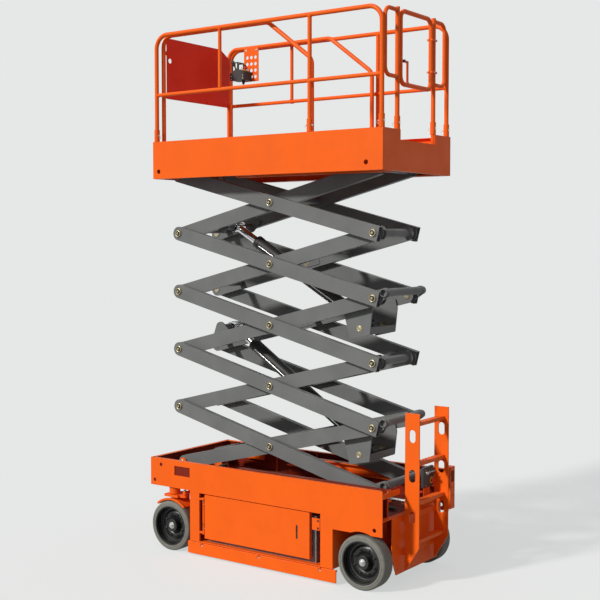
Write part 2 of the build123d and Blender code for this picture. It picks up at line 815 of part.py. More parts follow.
# Side guard rails
rail_rear_x = platform_rear_x + rail_inset
rail_front_x = platform_front_x - rail_inset
rail_y = half_width - rail_inset
for hand, sign in (("left", 1), ("right", -1)):
    y = sign * rail_y
    with BuildPart() as side_rails:
        tube(
            [(rail_rear_x, y, deck_top_z), (rail_rear_x, y, tube_z), (rail_front_x, y, tube_z),
             (rail_front_x, y, deck_top_z)], 110,
        )
        tube([(rail_rear_x, y, mid_rail_z), (rail_front_x, y, mid_rail_z)], 0, bar_radius)
        tube([(457, y, mid_rail_z), (457, y, tube_z)], 0, bar_radius - 1)
        tube([(-395, y, deck_top_z), (-395, y, tube_z)], 0, bar_radius + 1)
        for post_x in (rail_rear_x, -395, rail_front_x):
            collar(post_x, y)
    save(side_rails.part, f"{hand}_side_rails")

# Rear guard rails with the gate posts
gate_half = gate_post_y - tube_radius - 24
with BuildPart() as rear_rails:
    for sign in (1, -1):
        outer = sign * (rail_y - 2 * tube_radius - 6)
        post = sign * gate_post_y
        tube([(rail_rear_x, post, deck_top_z), (rail_rear_x, post, rail_top_z)])
        collar(rail_rear_x, post)
        tube(
            [(rail_rear_x, post, tube_z - 5), (rail_rear_x, outer, tube_z - 5),
             (rail_rear_x, outer, mid_rail_z), (rail_rear_x, post, mid_rail_z)], 60, bar_radius,
        )
    # straps around the gate's stile
    for strap_z in (gate_bottom_z + 150, gate_bottom_z + 390):
        with Locations((rail_rear_x, -(gate_post_y + gate_half) / 2, strap_z)):
            Box(2 * tube_radius + 12, gate_post_y - gate_half + 2 * tube_radius, 14)
        with Locations((rail_rear_x, -gate_half, strap_z)):
            Cylinder(tube_radius + running_fit, 14, mode=Mode.SUBTRACT)
save(rear_rails.part, "rear_rails")

# Entry gate
with BuildPart() as gate:
    with BuildSketch(Plane.YZ.offset(rail_rear_x), mode=Mode.PRIVATE) as gate_outline:
        with Locations((0, (tube_z + gate_bottom_z + tube_radius) / 2)):
            RectangleRounded(2 * gate_half, tube_z - gate_bottom_z - tube_radius, 60)
    gate_path = gate_outline.sketch.wires()[0]
    with BuildSketch(Plane(origin=gate_path @ 0, z_dir=gate_path % 0)) as gate_section:
        Circle(tube_radius)
    sweep(gate_section.sketch, path=gate_path)
    # latch bar beside the free stile, with its link
    latch_y = gate_half - 100
    latch_top = gate_bottom_z + 190
    with Locations((rail_rear_x, latch_y, (gate_bottom_z + tube_radius + latch_top) / 2)):
        Box(6, 26, latch_top - gate_bottom_z - tube_radius)
    with Locations((rail_rear_x, (latch_y + gate_half) / 2, latch_top - 8)):
        Box(6, gate_half - latch_y + 20, 16)
save(gate.part, "gate")

# Roll-out extension deck
ext_y = half_width - extension_inset
with BuildPart() as extension_deck:
    with Locations(((extension_rear_x + platform_front_x - 8) / 2, 0, deck_top_z + 3.3)):
        Box(platform_front_x - 8 - extension_rear_x, 2 * ext_y, 6)
    with Locations((platform_front_x - 11, 0, (deck_top_z + 0.3 + toe_top_z) / 2)):
        Box(6, 2 * ext_y, toe_top_z - deck_top_z - 0.3)
save(extension_deck.part, "extension_deck")

ext_rail_y = ext_y - tube_radius - 4
ext_front_x = platform_front_x - 48
with BuildPart() as extension_rails:
    for sign in (1, -1):
        y = sign * ext_rail_y
        tube(
            [(extension_rear_x + 25, y, deck_top_z + 6.3), (extension_rear_x + 25, y, tube_z - 310),
             (30, y, tube_z), (ext_front_x, y, tube_z), (ext_front_x, y, deck_top_z + 6.3)], 90,
        )
    tube([(ext_front_x, -ext_rail_y, mid_rail_z), (ext_front_x, ext_rail_y, mid_rail_z)], 0, bar_radius)
    tube([(ext_front_x, -ext_rail_y, tube_z - 130), (ext_front_x, ext_rail_y, tube_z - 130)], 0, bar_radius)
save(extension_rails.part, "extension_rails")

# Panel against the front bars, between the posts
panel_y = ext_rail_y - tube_radius - 0.3
panel_top_z = rail_top_z - 27
with BuildPart() as front_panel:
    with BuildSketch(Plane.YZ.offset(ext_front_x - bar_radius - 4)):
        with BuildLine():
            Polyline(
                (panel_y, mid_rail_z - 22), (panel_y, panel_top_z), (120 - panel_y, panel_top_z),
                (-panel_y, panel_top_z - 70), (-panel_y, mid_rail_z - 22), close=True,
            )
        make_face()
        with Locations((panel_y - 40, panel_top_z - 180)):
            Circle(20, mode=Mode.SUBTRACT)
    extrude(amount=4)
save(front_panel.part, "front_panel")

# Control box on its perforated bracket
bracket_y = -ext_rail_y + tube_radius + 4
bracket_x = ext_front_x - 264
with BuildPart() as control_bracket:
    with BuildSketch(side(bracket_y)):
        with Locations((bracket_x, tube_z - 145)):
            Rectangle(156, 290)
        with Locations((bracket_x, tube_z - 168)):
            with GridLocations(44, 55, 3, 4):
                Circle(15, mode=Mode.SUBTRACT)
    extrude(amount=4)
save(control_bracket.part, "control_bracket")

with BuildPart() as control_box:
    with BuildSketch(side(bracket_y + 112)):
        with BuildLine():
            Polyline(
                (bracket_x - 6, tube_z - 285), (bracket_x + 144, tube_z - 285),
                (bracket_x + 144, tube_z - 225), (bracket_x + 74, tube_z - 187),
                (bracket_x - 6, tube_z - 215), close=True,
            )
        box_outline = make_face()
        fillet(box_outline.vertices(), 8)
    extrude(amount=112)
save(control_box.part, "control_box")
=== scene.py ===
import json
from math import cos, pi, radians, sin

import bmesh
import bpy
from mathutils import Matrix, Vector


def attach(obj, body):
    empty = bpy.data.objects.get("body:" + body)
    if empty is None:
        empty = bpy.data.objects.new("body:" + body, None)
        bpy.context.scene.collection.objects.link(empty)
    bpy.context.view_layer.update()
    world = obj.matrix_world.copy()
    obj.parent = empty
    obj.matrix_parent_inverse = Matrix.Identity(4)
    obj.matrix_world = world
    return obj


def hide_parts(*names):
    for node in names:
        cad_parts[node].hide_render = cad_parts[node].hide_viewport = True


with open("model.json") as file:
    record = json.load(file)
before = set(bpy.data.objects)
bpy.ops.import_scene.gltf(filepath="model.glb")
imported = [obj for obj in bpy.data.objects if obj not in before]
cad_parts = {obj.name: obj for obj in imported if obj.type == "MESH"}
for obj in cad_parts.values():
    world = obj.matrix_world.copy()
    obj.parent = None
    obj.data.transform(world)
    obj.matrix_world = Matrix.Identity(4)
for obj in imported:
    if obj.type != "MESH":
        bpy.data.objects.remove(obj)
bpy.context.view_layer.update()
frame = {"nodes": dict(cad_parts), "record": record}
print("frame loaded")


# Mesh helpers

def asPiece(name, bm, body, material, bevel=0.0):
    # closes the bmesh into an object that rides on a body; bevel is the width of its soft edges
    bmesh.ops.remove_doubles(bm, verts=bm.verts, dist=1e-6)
    bmesh.ops.recalc_face_normals(bm, faces=bm.faces)
    mesh = bpy.data.meshes.new(name)
    bm.to_mesh(mesh)
    bm.free()
    piece = bpy.data.objects.new(name, mesh)
    bpy.context.scene.collection.objects.link(piece)
    mesh.materials.append(material)
    mesh.polygons.foreach_set("use_smooth", [True] * len(mesh.polygons))
    mesh.set_sharp_from_angle(angle=radians(35))
    if bevel:
        soft = piece.modifiers.new("softEdges", "BEVEL")
        soft.width = bevel
        soft.segments = 2
        soft.limit_method = "ANGLE"
    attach(piece, body)
    return piece


def turned(axis):
    # matrix that turns +Z to the axis
    return Vector((0, 0, 1)).rotation_difference(Vector(axis)).to_matrix().to_4x4()


def joinInto(bm, part):
    mesh = bpy.data.meshes.new("part")
    part.to_mesh(mesh)
    part.free()
    bm.from_mesh(mesh)
    bpy.data.meshes.remove(mesh)


def addBox(bm, low, high):
    low, high = Vector(low), Vector(high)
    place = Matrix.Translation((low + high) / 2) @ Matrix.Diagonal((*(high - low), 1))
    bmesh.ops.create_cube(bm, size=1, matrix=place)


def addSideBox(bm, sign, xs, ys, zs):
    # a box whose y values are given for the left side; sign -1 puts it on the right
    lowY, highY = sorted(sign * y for y in ys)
    addBox(bm, (xs[0], lowY, zs[0]), (xs[1], highY, zs[1]))


def addMiddleBox(bm, xs, halfY, zs):
    addBox(bm, (xs[0], -halfY, zs[0]), (xs[1], halfY, zs[1]))


def addRod(bm, start, end, radius, sides=16, endRadius=None):
    start, end = Vector(start), Vector(end)
    along = end - start
    bmesh.ops.create_cone(
        bm, cap_ends=True, segments=sides, radius1=radius,
        radius2=radius if endRadius is None else endRadius, depth=along.length,
        matrix=Matrix.Translation((start + end) / 2) @ turned(along.normalized()),
    )


def addPipe(bm, points, radius, sides=12):
    # straight runs with a ball at each bend
    for start, end in zip(points, points[1:]):
        addRod(bm, start, end, radius, sides)
    for bend in points[1:-1]:
        bmesh.ops.create_uvsphere(
            bm, u_segments=sides, v_segments=8, radius=radius, matrix=Matrix.Translation(bend),
        )


def addLathe(bm, outline, centre, axis, steps=48):
    # spins an outline of (radius, along) points; it is closed unless it starts and ends on the axis
    part = bmesh.new()
    verts = [part.verts.new((radius, 0, along)) for radius, along in outline]
    edges = [part.edges.new(pair) for pair in zip(verts, verts[1:])]
    if outline[0][0] > 0:
        edges.append(part.edges.new((verts[-1], verts[0])))
    bmesh.ops.spin(
        part, geom=verts + edges, cent=(0, 0, 0), axis=(0, 0, 1), angle=2 * pi, steps=steps, use_merge=True,
    )
    bmesh.ops.remove_doubles(part, verts=part.verts, dist=1e-6)
    part.transform(Matrix.Translation(centre) @ turned(axis))
    joinInto(bm, part)


def addRing(bm, centre, axis, radius, wire, steps=28, sides=8):
    # a ring of round wire
    part = bmesh.new()
    circle = bmesh.ops.create_circle(
        part, segments=sides, radius=wire,
        matrix=Matrix.Translation((radius, 0, 0)) @ Matrix.Rotation(pi / 2, 4, "X"),
    )["verts"]
    edges = list({edge for vert in circle for edge in vert.link_edges})
    bmesh.ops.spin(
        part, geom=circle + edges, cent=(0, 0, 0), axis=(0, 0, 1), angle=2 * pi, steps=steps, use_merge=True,
    )
    part.transform(Matrix.Translation(centre) @ turned(axis))
    joinInto(bm, part)


def addBolt(bm, centre, axis, across=0.016, height=0.008):
    # hexagon head with a chamfered top, on its washer
    centre, axis = Vector(centre), Vector(axis).normalized()
    head = centre + axis * height * 0.25
    shoulder = centre + axis * height * 0.8
    addRod(bm, centre, head, across * 0.78, 20)
    addRod(bm, head, shoulder, across * 0.56, 6)
    addRod(bm, shoulder, centre + axis * height, across * 0.55, 6, across * 0.42)


# Node groups shared by the materials

def newGroup(name, inputs, outputs):
    group = bpy.data.node_groups.new(name, "ShaderNodeTree")
    for socketName, socketType, default in inputs:
        socket = group.interface.new_socket(socketName, in_out="INPUT", socket_type=socketType)
        socket.default_value = default
    for socketName, socketType in outputs:
        group.interface.new_socket(socketName, in_out="OUTPUT", socket_type=socketType)
    return group, group.nodes.new("NodeGroupInput"), group.nodes.new("NodeGroupOutput")


def node(tree, kind, **settings):
    made = tree.nodes.new(kind)
    for key, value in settings.items():
        setattr(made, key, value)
    return made


def mathNode(tree, operation, first, second=None, clamp=False):
    made = node(tree, "ShaderNodeMath", operation=operation, use_clamp=clamp)
    for index, value in enumerate((first, second)):
        if value is None:
            continue
        if isinstance(value, (int, float)):
            made.inputs[index].default_value = value
        else:
            tree.links.new(value, made.inputs[index])
    return made.outputs[0]


def noise(tree, coordinates, scale, detail=4.0, roughness=0.55):
    made = node(tree, "ShaderNodeTexNoise")
    made.inputs["Detail"].default_value = detail
    made.inputs["Roughness"].default_value = roughness
    tree.links.new(coordinates, made.inputs["Vector"])
    if isinstance(scale, (int, float)):
        made.inputs["Scale"].default_value = scale
    else:
        tree.links.new(scale, made.inputs["Scale"])
    return made.outputs["Fac"]


def ranged(tree, value, low, high, toLow=0.0, toHigh=1.0):
    made = node(tree, "ShaderNodeMapRange", interpolation_type="SMOOTHSTEP")
    tree.links.new(value, made.inputs["Value"])
    for socketName, number in (("From Min", low), ("From Max", high), ("To Min", toLow), ("To Max", toHigh)):
        made.inputs[socketName].default_value = number
    return made.outputs["Result"]


def mixColor(tree, factor, first, second):
    made = node(tree, "ShaderNodeMix", data_type="RGBA")
    for index, value in ((0, factor), (6, first), (7, second)):
        if isinstance(value, tuple):
            made.inputs[index].default_value = value
        else:
            tree.links.new(value, made.inputs[index])
    return made.outputs[2]


def makeSharpEdges():
    # mask of the sharp edges, broken up by noise, and the rounded normal
    group, given, result = newGroup(
        "sharpEdges",
        [("Width", "NodeSocketFloat", 0.004), ("Amount", "NodeSocketFloat", 0.5),
         ("Scale", "NodeSocketFloat", 20.0)],
        [("Mask", "NodeSocketFloat"), ("Normal", "NodeSocketVector")],
    )
    coords = node(group, "ShaderNodeTexCoord")
    geometry = node(group, "ShaderNodeNewGeometry")
    rounded = node(group, "ShaderNodeBevel", samples=4)
    group.links.new(given.outputs["Width"], rounded.inputs["Radius"])
    dot = node(group, "ShaderNodeVectorMath", operation="DOT_PRODUCT")
    group.links.new(rounded.outputs[0], dot.inputs[0])
    group.links.new(geometry.outputs["Normal"], dot.inputs[1])
    edge = ranged(group, dot.outputs["Value"], 0.995, 0.86)
    grain = noise(group, coords.outputs["Object"], given.outputs["Scale"], 6, 0.65)
    broken = mathNode(group, "MULTIPLY", edge, ranged(group, grain, 0.35, 0.6))
    edgeMark = mathNode(group, "MULTIPLY", broken, given.outputs["Amount"], True)
    group.links.new(edgeMark, result.inputs["Mask"])
    group.links.new(rounded.outputs[0], result.inputs["Normal"])
    return group


def makeDust():
    # dust on what faces up and in patches elsewhere, and faint runs down the sides
    group, given, result = newGroup(
        "dust",
        [("Amount", "NodeSocketFloat", 0.3), ("Scale", "NodeSocketFloat", 3.0)],
        [("Mask", "NodeSocketFloat"), ("Streaks", "NodeSocketFloat")],
    )
    coords = node(group, "ShaderNodeTexCoord")
    geometry = node(group, "ShaderNodeNewGeometry")
    parts = node(group, "ShaderNodeSeparateXYZ")
    group.links.new(geometry.outputs["Normal"], parts.inputs[0])
    facingUp = ranged(group, parts.outputs["Z"], 0.2, 0.95, 0.12, 1.0)
    cloud = noise(group, coords.outputs["Object"], given.outputs["Scale"], 8, 0.6)
    settled = mathNode(group, "MULTIPLY", facingUp, ranged(group, cloud, 0.38, 0.72))
    mask = mathNode(group, "MULTIPLY", settled, given.outputs["Amount"], True)
    group.links.new(mask, result.inputs["Mask"])
    stretch = node(group, "ShaderNodeMapping")
    stretch.inputs["Scale"].default_value = (9, 9, 1.4)
    group.links.new(coords.outputs["Object"], stretch.inputs["Vector"])
    runs = ranged(group, noise(group, stretch.outputs[0], 1.0, 5, 0.6), 0.56, 0.82)
    streaks = mathNode(group, "MULTIPLY", runs, given.outputs["Amount"], True)
    group.links.new(streaks, result.inputs["Streaks"])
    return group


def makeOrangePeel():
    # fine skin of sprayed paint, and a slow wave for colour and gloss
    group, given, result = newGroup(
        "orangePeel",
        [("Scale", "NodeSocketFloat", 260.0), ("Wave", "NodeSocketFloat", 5.0)],
        [("Height", "NodeSocketFloat"), ("Variation", "NodeSocketFloat")],
    )
    coords = node(group, "ShaderNodeTexCoord")
    fine = noise(group, coords.outputs["Object"], given.outputs["Scale"], 2, 0.5)
    slow = noise(group, coords.outputs["Object"], given.outputs["Wave"], 3, 0.5)
    height = mathNode(group, "ADD", mathNode(group, "MULTIPLY", fine, 0.3), slow)
    group.links.new(height, result.inputs["Height"])
    group.links.new(slow, result.inputs["Variation"])
    return group


sharpEdges = makeSharpEdges()
dust = makeDust()
orangePeel = makeOrangePeel()


def placed(tree, group, **values):
    made = node(tree, "ShaderNodeGroup", node_tree=group)
    for key, value in values.items():
        made.inputs[key].default_value = value
    return made


def shaded(name, **constants):
    # a material with its Principled shader; constants go straight on the shader's sockets
    material = bpy.data.materials.new(name)
    material.use_nodes = True
    tree = material.node_tree
    shader = tree.nodes["Principled BSDF"]
    for key, value in constants.items():
        shader.inputs[key].default_value = value
    return material, tree, shader


def bumped(tree, shader, height, strength, distance, under=None):
    bump = node(tree, "ShaderNodeBump")
    bump.inputs["Strength"].default_value = strength
    bump.inputs["Distance"].default_value = distance
    tree.links.new(height, bump.inputs["Height"])
    if under:
        tree.links.new(under, bump.inputs["Normal"])
    tree.links.new(bump.outputs[0], shader.inputs["Normal"])


def times(color, share):
    return tuple(channel * share for channel in color[:3]) + (1,)


def paint(name, look):
    # sprayed enamel: colour drift, lighter sharp edges (worn paint, and on the grey arms also a painted
    # highlight along the edges), settled dust, faint runs and an orange-peel skin
    material, tree, shader = shaded(
        name, **{"Coat Weight": look["coat"], "Coat Roughness": 0.18, "Specular IOR Level": look["specular"]},
    )
    skin = placed(tree, orangePeel)
    edgeGroup = placed(tree, sharpEdges, Width=look["edge"], Amount=look["edgeShare"], Scale=24.0)
    roughness = look["roughness"]
    settled = placed(tree, dust, Amount=look["dusty"])
    wave = ranged(tree, skin.outputs["Variation"], 0.3, 0.7)
    drift = mixColor(tree, wave, look["color"], times(look["color"], 1 - look["drift"]))
    dirty = mixColor(tree, settled.outputs["Streaks"], drift, times(look["color"], look["streak"]))
    dusted = mixColor(tree, settled.outputs["Mask"], dirty, look["dust"])
    # lighter sharp edges: worn paint, and on the grey arms partly a painted highlight
    final = mixColor(tree, edgeGroup.outputs["Mask"], dusted, look["edgeMark"])
    tree.links.new(final, shader.inputs["Base Color"])
    gloss = ranged(tree, skin.outputs["Variation"], 0.3, 0.7, roughness - 0.05, roughness + 0.06)
    dulled = mathNode(tree, "MULTIPLY", settled.outputs["Mask"], 0.35)
    tree.links.new(mathNode(tree, "ADD", gloss, dulled, True), shader.inputs["Roughness"])
    bumped(tree, shader, skin.outputs["Height"], 0.1, 0.0015, edgeGroup.outputs["Normal"])
    return material


def rubber(name, look):
    # solid tyre rubber: scuffs, dust in the pores and a fine bump
    material, tree, shader = shaded(name, **{"Specular IOR Level": 0.25})
    coords = node(tree, "ShaderNodeTexCoord")
    settled = placed(tree, dust, Amount=0.45, Scale=9.0)
    scuffs = ranged(tree, noise(tree, coords.outputs["Object"], 34, 8, 0.7), 0.45, 0.75)
    mottled = mixColor(tree, scuffs, look["color"], look["scuffed"])
    dusted = mixColor(tree, settled.outputs["Mask"], mottled, look["dust"])
    tree.links.new(dusted, shader.inputs["Base Color"])
    tree.links.new(ranged(tree, scuffs, 0, 1, 0.66, 0.84), shader.inputs["Roughness"])
    bumped(tree, shader, noise(tree, coords.outputs["Object"], 150, 5, 0.6), 0.3, 0.001)
    return material


def plated(name, look):
    # zinc or chrome: metal with a patchy passivation and fine lines
    material, tree, shader = shaded(name, **{"Metallic": 1.0})
    coords = node(tree, "ShaderNodeTexCoord")
    patches = ranged(tree, noise(tree, coords.outputs["Object"], 45, 5, 0.6), 0.35, 0.7)
    edgeGroup = placed(tree, sharpEdges, Width=0.0015, Amount=0.6, Scale=60.0)
    toned = mixColor(tree, patches, look["color"], look["tarnish"])
    final = mixColor(tree, edgeGroup.outputs["Mask"], toned, look["bright"])
    tree.links.new(final, shader.inputs["Base Color"])
    gloss = ranged(tree, patches, 0, 1, look["roughness"], look["roughness"] + 0.18)
    tree.links.new(gloss, shader.inputs["Roughness"])
    lines = noise(tree, coords.outputs["Object"], 220, 3, 0.5)
    bumped(tree, shader, lines, 0.1, 0.0005, edgeGroup.outputs["Normal"])
    return material


def plastic(name, look):
    # moulded plastic: fine grain, sun-faded patches and dust
    material, tree, shader = shaded(name, **{"Specular IOR Level": look["specular"]})
    coords = node(tree, "ShaderNodeTexCoord")
    settled = placed(tree, dust, Amount=0.3, Scale=6.0)
    patches = ranged(tree, noise(tree, coords.outputs["Object"], 8, 5, 0.6), 0.35, 0.7)
    toned = mixColor(tree, patches, look["color"], look["faded"])
    final = mixColor(tree, settled.outputs["Mask"], toned, look["dust"])
    tree.links.new(final, shader.inputs["Base Color"])
    gloss = ranged(tree, patches, 0, 1, look["roughness"], look["roughness"] + 0.12)
    tree.links.new(gloss, shader.inputs["Roughness"])
    grain = node(tree, "ShaderNodeTexVoronoi", feature="SMOOTH_F1")
    grain.inputs["Scale"].default_value = 420
    tree.links.new(coords.outputs["Object"], grain.inputs["Vector"])
    bumped(tree, shader, grain.outputs["Distance"], 0.2, 0.0005)
    return material


def treadPlate(name, look):
    # walked-on deck: crossed raised bars with the paint rubbed off them
    material, tree, shader = shaded(name, **{"Specular IOR Level": 0.4})
    coords = node(tree, "ShaderNodeTexCoord")
    slanted = node(tree, "ShaderNodeMapping")
    slanted.inputs["Rotation"].default_value = (0, 0, radians(45))
    tree.links.new(coords.outputs["Object"], slanted.inputs["Vector"])
    bars = []
    for spacing in (look["barsAcross"], look["barsAlong"]):
        lay = node(tree, "ShaderNodeMapping")
        lay.inputs["Scale"].default_value = spacing
        tree.links.new(slanted.outputs[0], lay.inputs["Vector"])
        cell = node(tree, "ShaderNodeTexVoronoi", feature="F1")
        cell.inputs["Scale"].default_value = 1.0
        cell.inputs["Randomness"].default_value = 0.0
        tree.links.new(lay.outputs[0], cell.inputs["Vector"])
        bars.append(ranged(tree, cell.outputs["Distance"], 0.42, 0.2))
    # the bars are rolled on the sheet's walking face only
    geometry = node(tree, "ShaderNodeNewGeometry")
    parts = node(tree, "ShaderNodeSeparateXYZ")
    tree.links.new(geometry.outputs["Normal"], parts.inputs[0])
    walked = ranged(tree, parts.outputs["Z"], 0.6, 0.9)
    raised = mathNode(tree, "MULTIPLY", mathNode(tree, "MAXIMUM", bars[0], bars[1]), walked)
    rubbed = ranged(tree, noise(tree, coords.outputs["Object"], 5, 8, 0.65), 0.46, 0.8)
    bareMask = mathNode(tree, "MULTIPLY", raised, rubbed, True)
    settled = placed(tree, dust, Amount=0.5, Scale=4.0)
    dusted = mixColor(tree, settled.outputs["Mask"], look["color"], look["dust"])
    tree.links.new(mixColor(tree, bareMask, dusted, look["bare"]), shader.inputs["Base Color"])
    tree.links.new(ranged(tree, bareMask, 0, 1, 0.55, 0.32), shader.inputs["Roughness"])
    tree.links.new(mathNode(tree, "MULTIPLY", bareMask, 0.8), shader.inputs["Metallic"])
    bumped(tree, shader, raised, 0.5, 0.002)
    return material


# Finishes

enamel = {
    "color": (0.95, 0.136, 0.007, 1), "edgeMark": (0.95, 0.3, 0.1, 1), "dust": (0.5, 0.26, 0.14, 1),
    "roughness": 0.44, "specular": 0.16, "coat": 0.03, "edgeShare": 0.25, "edge": 0.003, "dusty": 0.14,
    "streak": 0.72, "drift": 0.06,
}
# the arms' pale edge colour and larger edge share are partly worn paint and partly a painted highlight,
# standing in for the light line the sun puts along the arms' edges
armEnamel = {
    **enamel, "color": (0.164, 0.174, 0.172, 1), "edgeMark": (0.42, 0.4, 0.36, 1), "dust": (0.3, 0.28, 0.24, 1),
    "roughness": 0.46, "specular": 0.24, "edgeShare": 0.55, "dusty": 0.3, "drift": 0.14,
}
rimEnamel = {
    **enamel, "color": (0.014, 0.016, 0.015, 1), "edgeMark": (0.09, 0.09, 0.085, 1),
    "dust": (0.12, 0.115, 0.1, 1), "roughness": 0.36, "specular": 0.4, "edgeShare": 0.45,
    "dusty": 0.3, "drift": 0.2,
}
orangePaint = paint("orangePaint", enamel)
panelPaint = paint("panelPaint", {**enamel, "color": (0.97, 0.04, 0.008, 1)})
# painted shade: a dark copy of the orange paint, for the sheets that stand in for the shade inside the tub
tubShadePaint = paint("tubShadePaint", {**enamel, "color": (0.2, 0.016, 0.005, 1), "edgeMark": (0.3, 0.06, 0.02, 1)})
armPaint = paint("armPaint", armEnamel)
rimPaint = paint("rimPaint", rimEnamel)
ramPaint = paint("ramPaint", {**rimEnamel, "color": (0.012, 0.012, 0.013, 1), "roughness": 0.5, "coat": 0.0})
weldPaint = paint("weldPaint", {**enamel, "drift": 0.25, "edgeShare": 0.6, "roughness": 0.5})
tyreRubber = rubber("tyreRubber", {
    "color": (0.2, 0.206, 0.18, 1), "scuffed": (0.145, 0.15, 0.13, 1), "dust": (0.28, 0.27, 0.235, 1),
})
zincPlate = plated("zincPlate", {
    "color": (0.5, 0.44, 0.29, 1), "tarnish": (0.32, 0.27, 0.17, 1), "bright": (0.62, 0.58, 0.48, 1),
    "roughness": 0.34,
})
steelPlate = plated("steelPlate", {
    "color": (0.6, 0.6, 0.59, 1), "tarnish": (0.42, 0.42, 0.41, 1), "bright": (0.78, 0.78, 0.76, 1),
    "roughness": 0.28,
})
chromePlate = plated("chromePlate", {
    "color": (0.8, 0.8, 0.82, 1), "tarnish": (0.62, 0.62, 0.64, 1), "bright": (0.85, 0.85, 0.86, 1),
    "roughness": 0.1,
})
moulded = {
    "color": (0.03, 0.032, 0.034, 1), "faded": (0.06, 0.06, 0.058, 1), "dust": (0.3, 0.28, 0.25, 1),
    "roughness": 0.55, "specular": 0.4,
}
boxPlastic = plastic("boxPlastic", moulded)
greyPlastic = plastic("greyPlastic", {
    **moulded, "color": (0.16, 0.165, 0.17, 1), "faded": (0.24, 0.24, 0.235, 1),
})
redPlastic = plastic("redPlastic", {
    **moulded, "color": (0.6, 0.02, 0.015, 1), "faded": (0.7, 0.06, 0.04, 1), "roughness": 0.35,
})
yellowPlastic = plastic("yellowPlastic", {
    **moulded, "color": (0.8, 0.5, 0.03, 1), "faded": (0.85, 0.58, 0.12, 1), "roughness": 0.4,
})
hoseRubber = plastic("hoseRubber", {
    **moulded, "color": (0.014, 0.014, 0.014, 1), "faded": (0.03, 0.03, 0.03, 1), "specular": 0.3,
})
deckSheet = treadPlate("deckSheet", {
    "color": (0.75, 0.13, 0.02, 1), "bare": (0.5, 0.48, 0.45, 1), "dust": (0.36, 0.28, 0.22, 1),
    "barsAcross": (16, 55, 1), "barsAlong": (55, 16, 1),
})
slotMaterials = {
    "orange": orangePaint, "arm_grey": armPaint, "tyre_grey": tyreRubber, "rim_black": rimPaint,
    "zinc": zincPlate, "chrome": chromePlate, "ram_black": ramPaint, "panel_red": panelPaint,
    "deck_plate": deckSheet, "box_black": boxPlastic, "battery_black": greyPlastic,
}
for subpart in frame["record"]["subparts"]:
    solid = frame["nodes"][subpart["node"]]
    solid.data.materials.clear()
    solid.data.materials.append(slotMaterials[subpart["material_slot"]])
print("materials made")


# Places shared by the pieces, in metres

machine = {
    "halfWidth": 0.5, "rearX": -1.048, "frontX": 1.191, "topZ": 0.751, "floorZ": 0.531,
    "frontPinX": 1.051, "basePinZ": 0.683, "armPitch": 1.946, "restAngle": radians(14.22), "stages": 5,
    "armInside": 0.194, "armOutside": 0.301, "pinFace": 0.309,
    "deckRearX": -1.03937, "deckFrontX": 1.143, "deckUnderZ": 3.037, "deckZ": 3.14, "toeZ": 3.336,
}
boltSize = {  # across the flats, and height of the head
    "motor": (0.007, 0.004), "yoke": (0.013, 0.006), "tieRod": (0.02, 0.01), "lashing": (0.013, 0.007),
    "bayBracket": (0.011, 0.0055), "pipeClip": (0.009, 0.005), "rearPanel": (0.007, 0.004),
    "housing": (0.008, 0.004), "rearPlate": (0.012, 0.006), "ladder": (0.014, 0.008),
    "strap": (0.009, 0.0045), "console": (0.007, 0.0035), "hanger": (0.012, 0.006),
}
alongX, alongZ = cos(machine["restAngle"]), sin(machine["restAngle"])
rearPinX = machine["frontPinX"] - machine["armPitch"] * alongX
stageRise = machine["armPitch"] * alongZ
acrossY, upZ = Vector((0, 1, 0)), Vector((0, 0, 1))


def pinLevel(stage):
    return machine["basePinZ"] + stage * stageRise


def innerPoint(stage, along, above, y):
    # along and above the centre line of the inner arm, from its low front pin
    return Vector((
        machine["frontPinX"] - along * alongX + above * alongZ, y,
        pinLevel(stage - 1) + along * alongZ + above * alongX,
    ))


def outerPoint(stage, along, above, y):
    # along and above the centre line of the outer arm, from its low rear pin
    return Vector((
        rearPinX + along * alongX - above * alongZ, y,
        pinLevel(stage - 1) + along * alongZ + above * alongX,
    ))


# Wheels

wheel = {
    "frontX": 0.984, "rearX": -0.865, "hubZ": 0.203, "steps": 72,
    "tyre": [  # radius, and distance out from the outer face
        (0.1605, -0.002), (0.163, 0.0), (0.174, 0.0), (0.1755, -0.0025), (0.178, -0.003), (0.1795, -0.0006),
        (0.188, -0.0012), (0.195, -0.0045), (0.2, -0.0095), (0.2028, -0.017), (0.203, -0.03),
        (0.203, -0.061), (0.2021, -0.0622), (0.2021, -0.0648), (0.203, -0.066),
        (0.203, -0.097), (0.2028, -0.11), (0.2, -0.1175), (0.195, -0.1225), (0.188, -0.1258),
        (0.174, -0.127), (0.163, -0.127), (0.1605, -0.125),
    ],
    "pressing": [  # pressed ring in the dish, seen from outside
        (0.151, -0.054), (0.149, -0.0515), (0.146, -0.052), (0.143, -0.058), (0.138, -0.067),
        (0.128, -0.071), (0.118, -0.069), (0.108, -0.062), (0.1, -0.0575), (0.09, -0.056), (0.078, -0.058),
        (0.07, -0.064), (0.063, -0.071), (0.0535, -0.073), (0.0535, -0.0755), (0.151, -0.0755),
    ],
    "beads": ((-0.0045, 0.1545, 0.0042, 60), (-0.024, 0.049, 0.0028, 40)),  # out, radius, wire, steps
    "nuts": 8, "nutCircle": 0.091, "nutFace": -0.0565, "nutAcross": 0.019, "nutHeight": 0.011,
    "studLength": 0.015, "studRadius": 0.005, "hubFace": -0.024,
    "hub": (  # washer, nut, collar and shaft end: from, to, radius, sides, end radius
        (0.0, 0.003, 0.027, 32, None), (0.003, 0.013, 0.0205, 6, None),
        (0.013, 0.0175, 0.0155, 24, None), (0.0175, 0.0205, 0.009, 16, 0.0075),
    ),
    "splitPin": (0.019, 0, -0.002), "splitPinOut": 0.0155, "splitPinRadius": 0.0018,
}


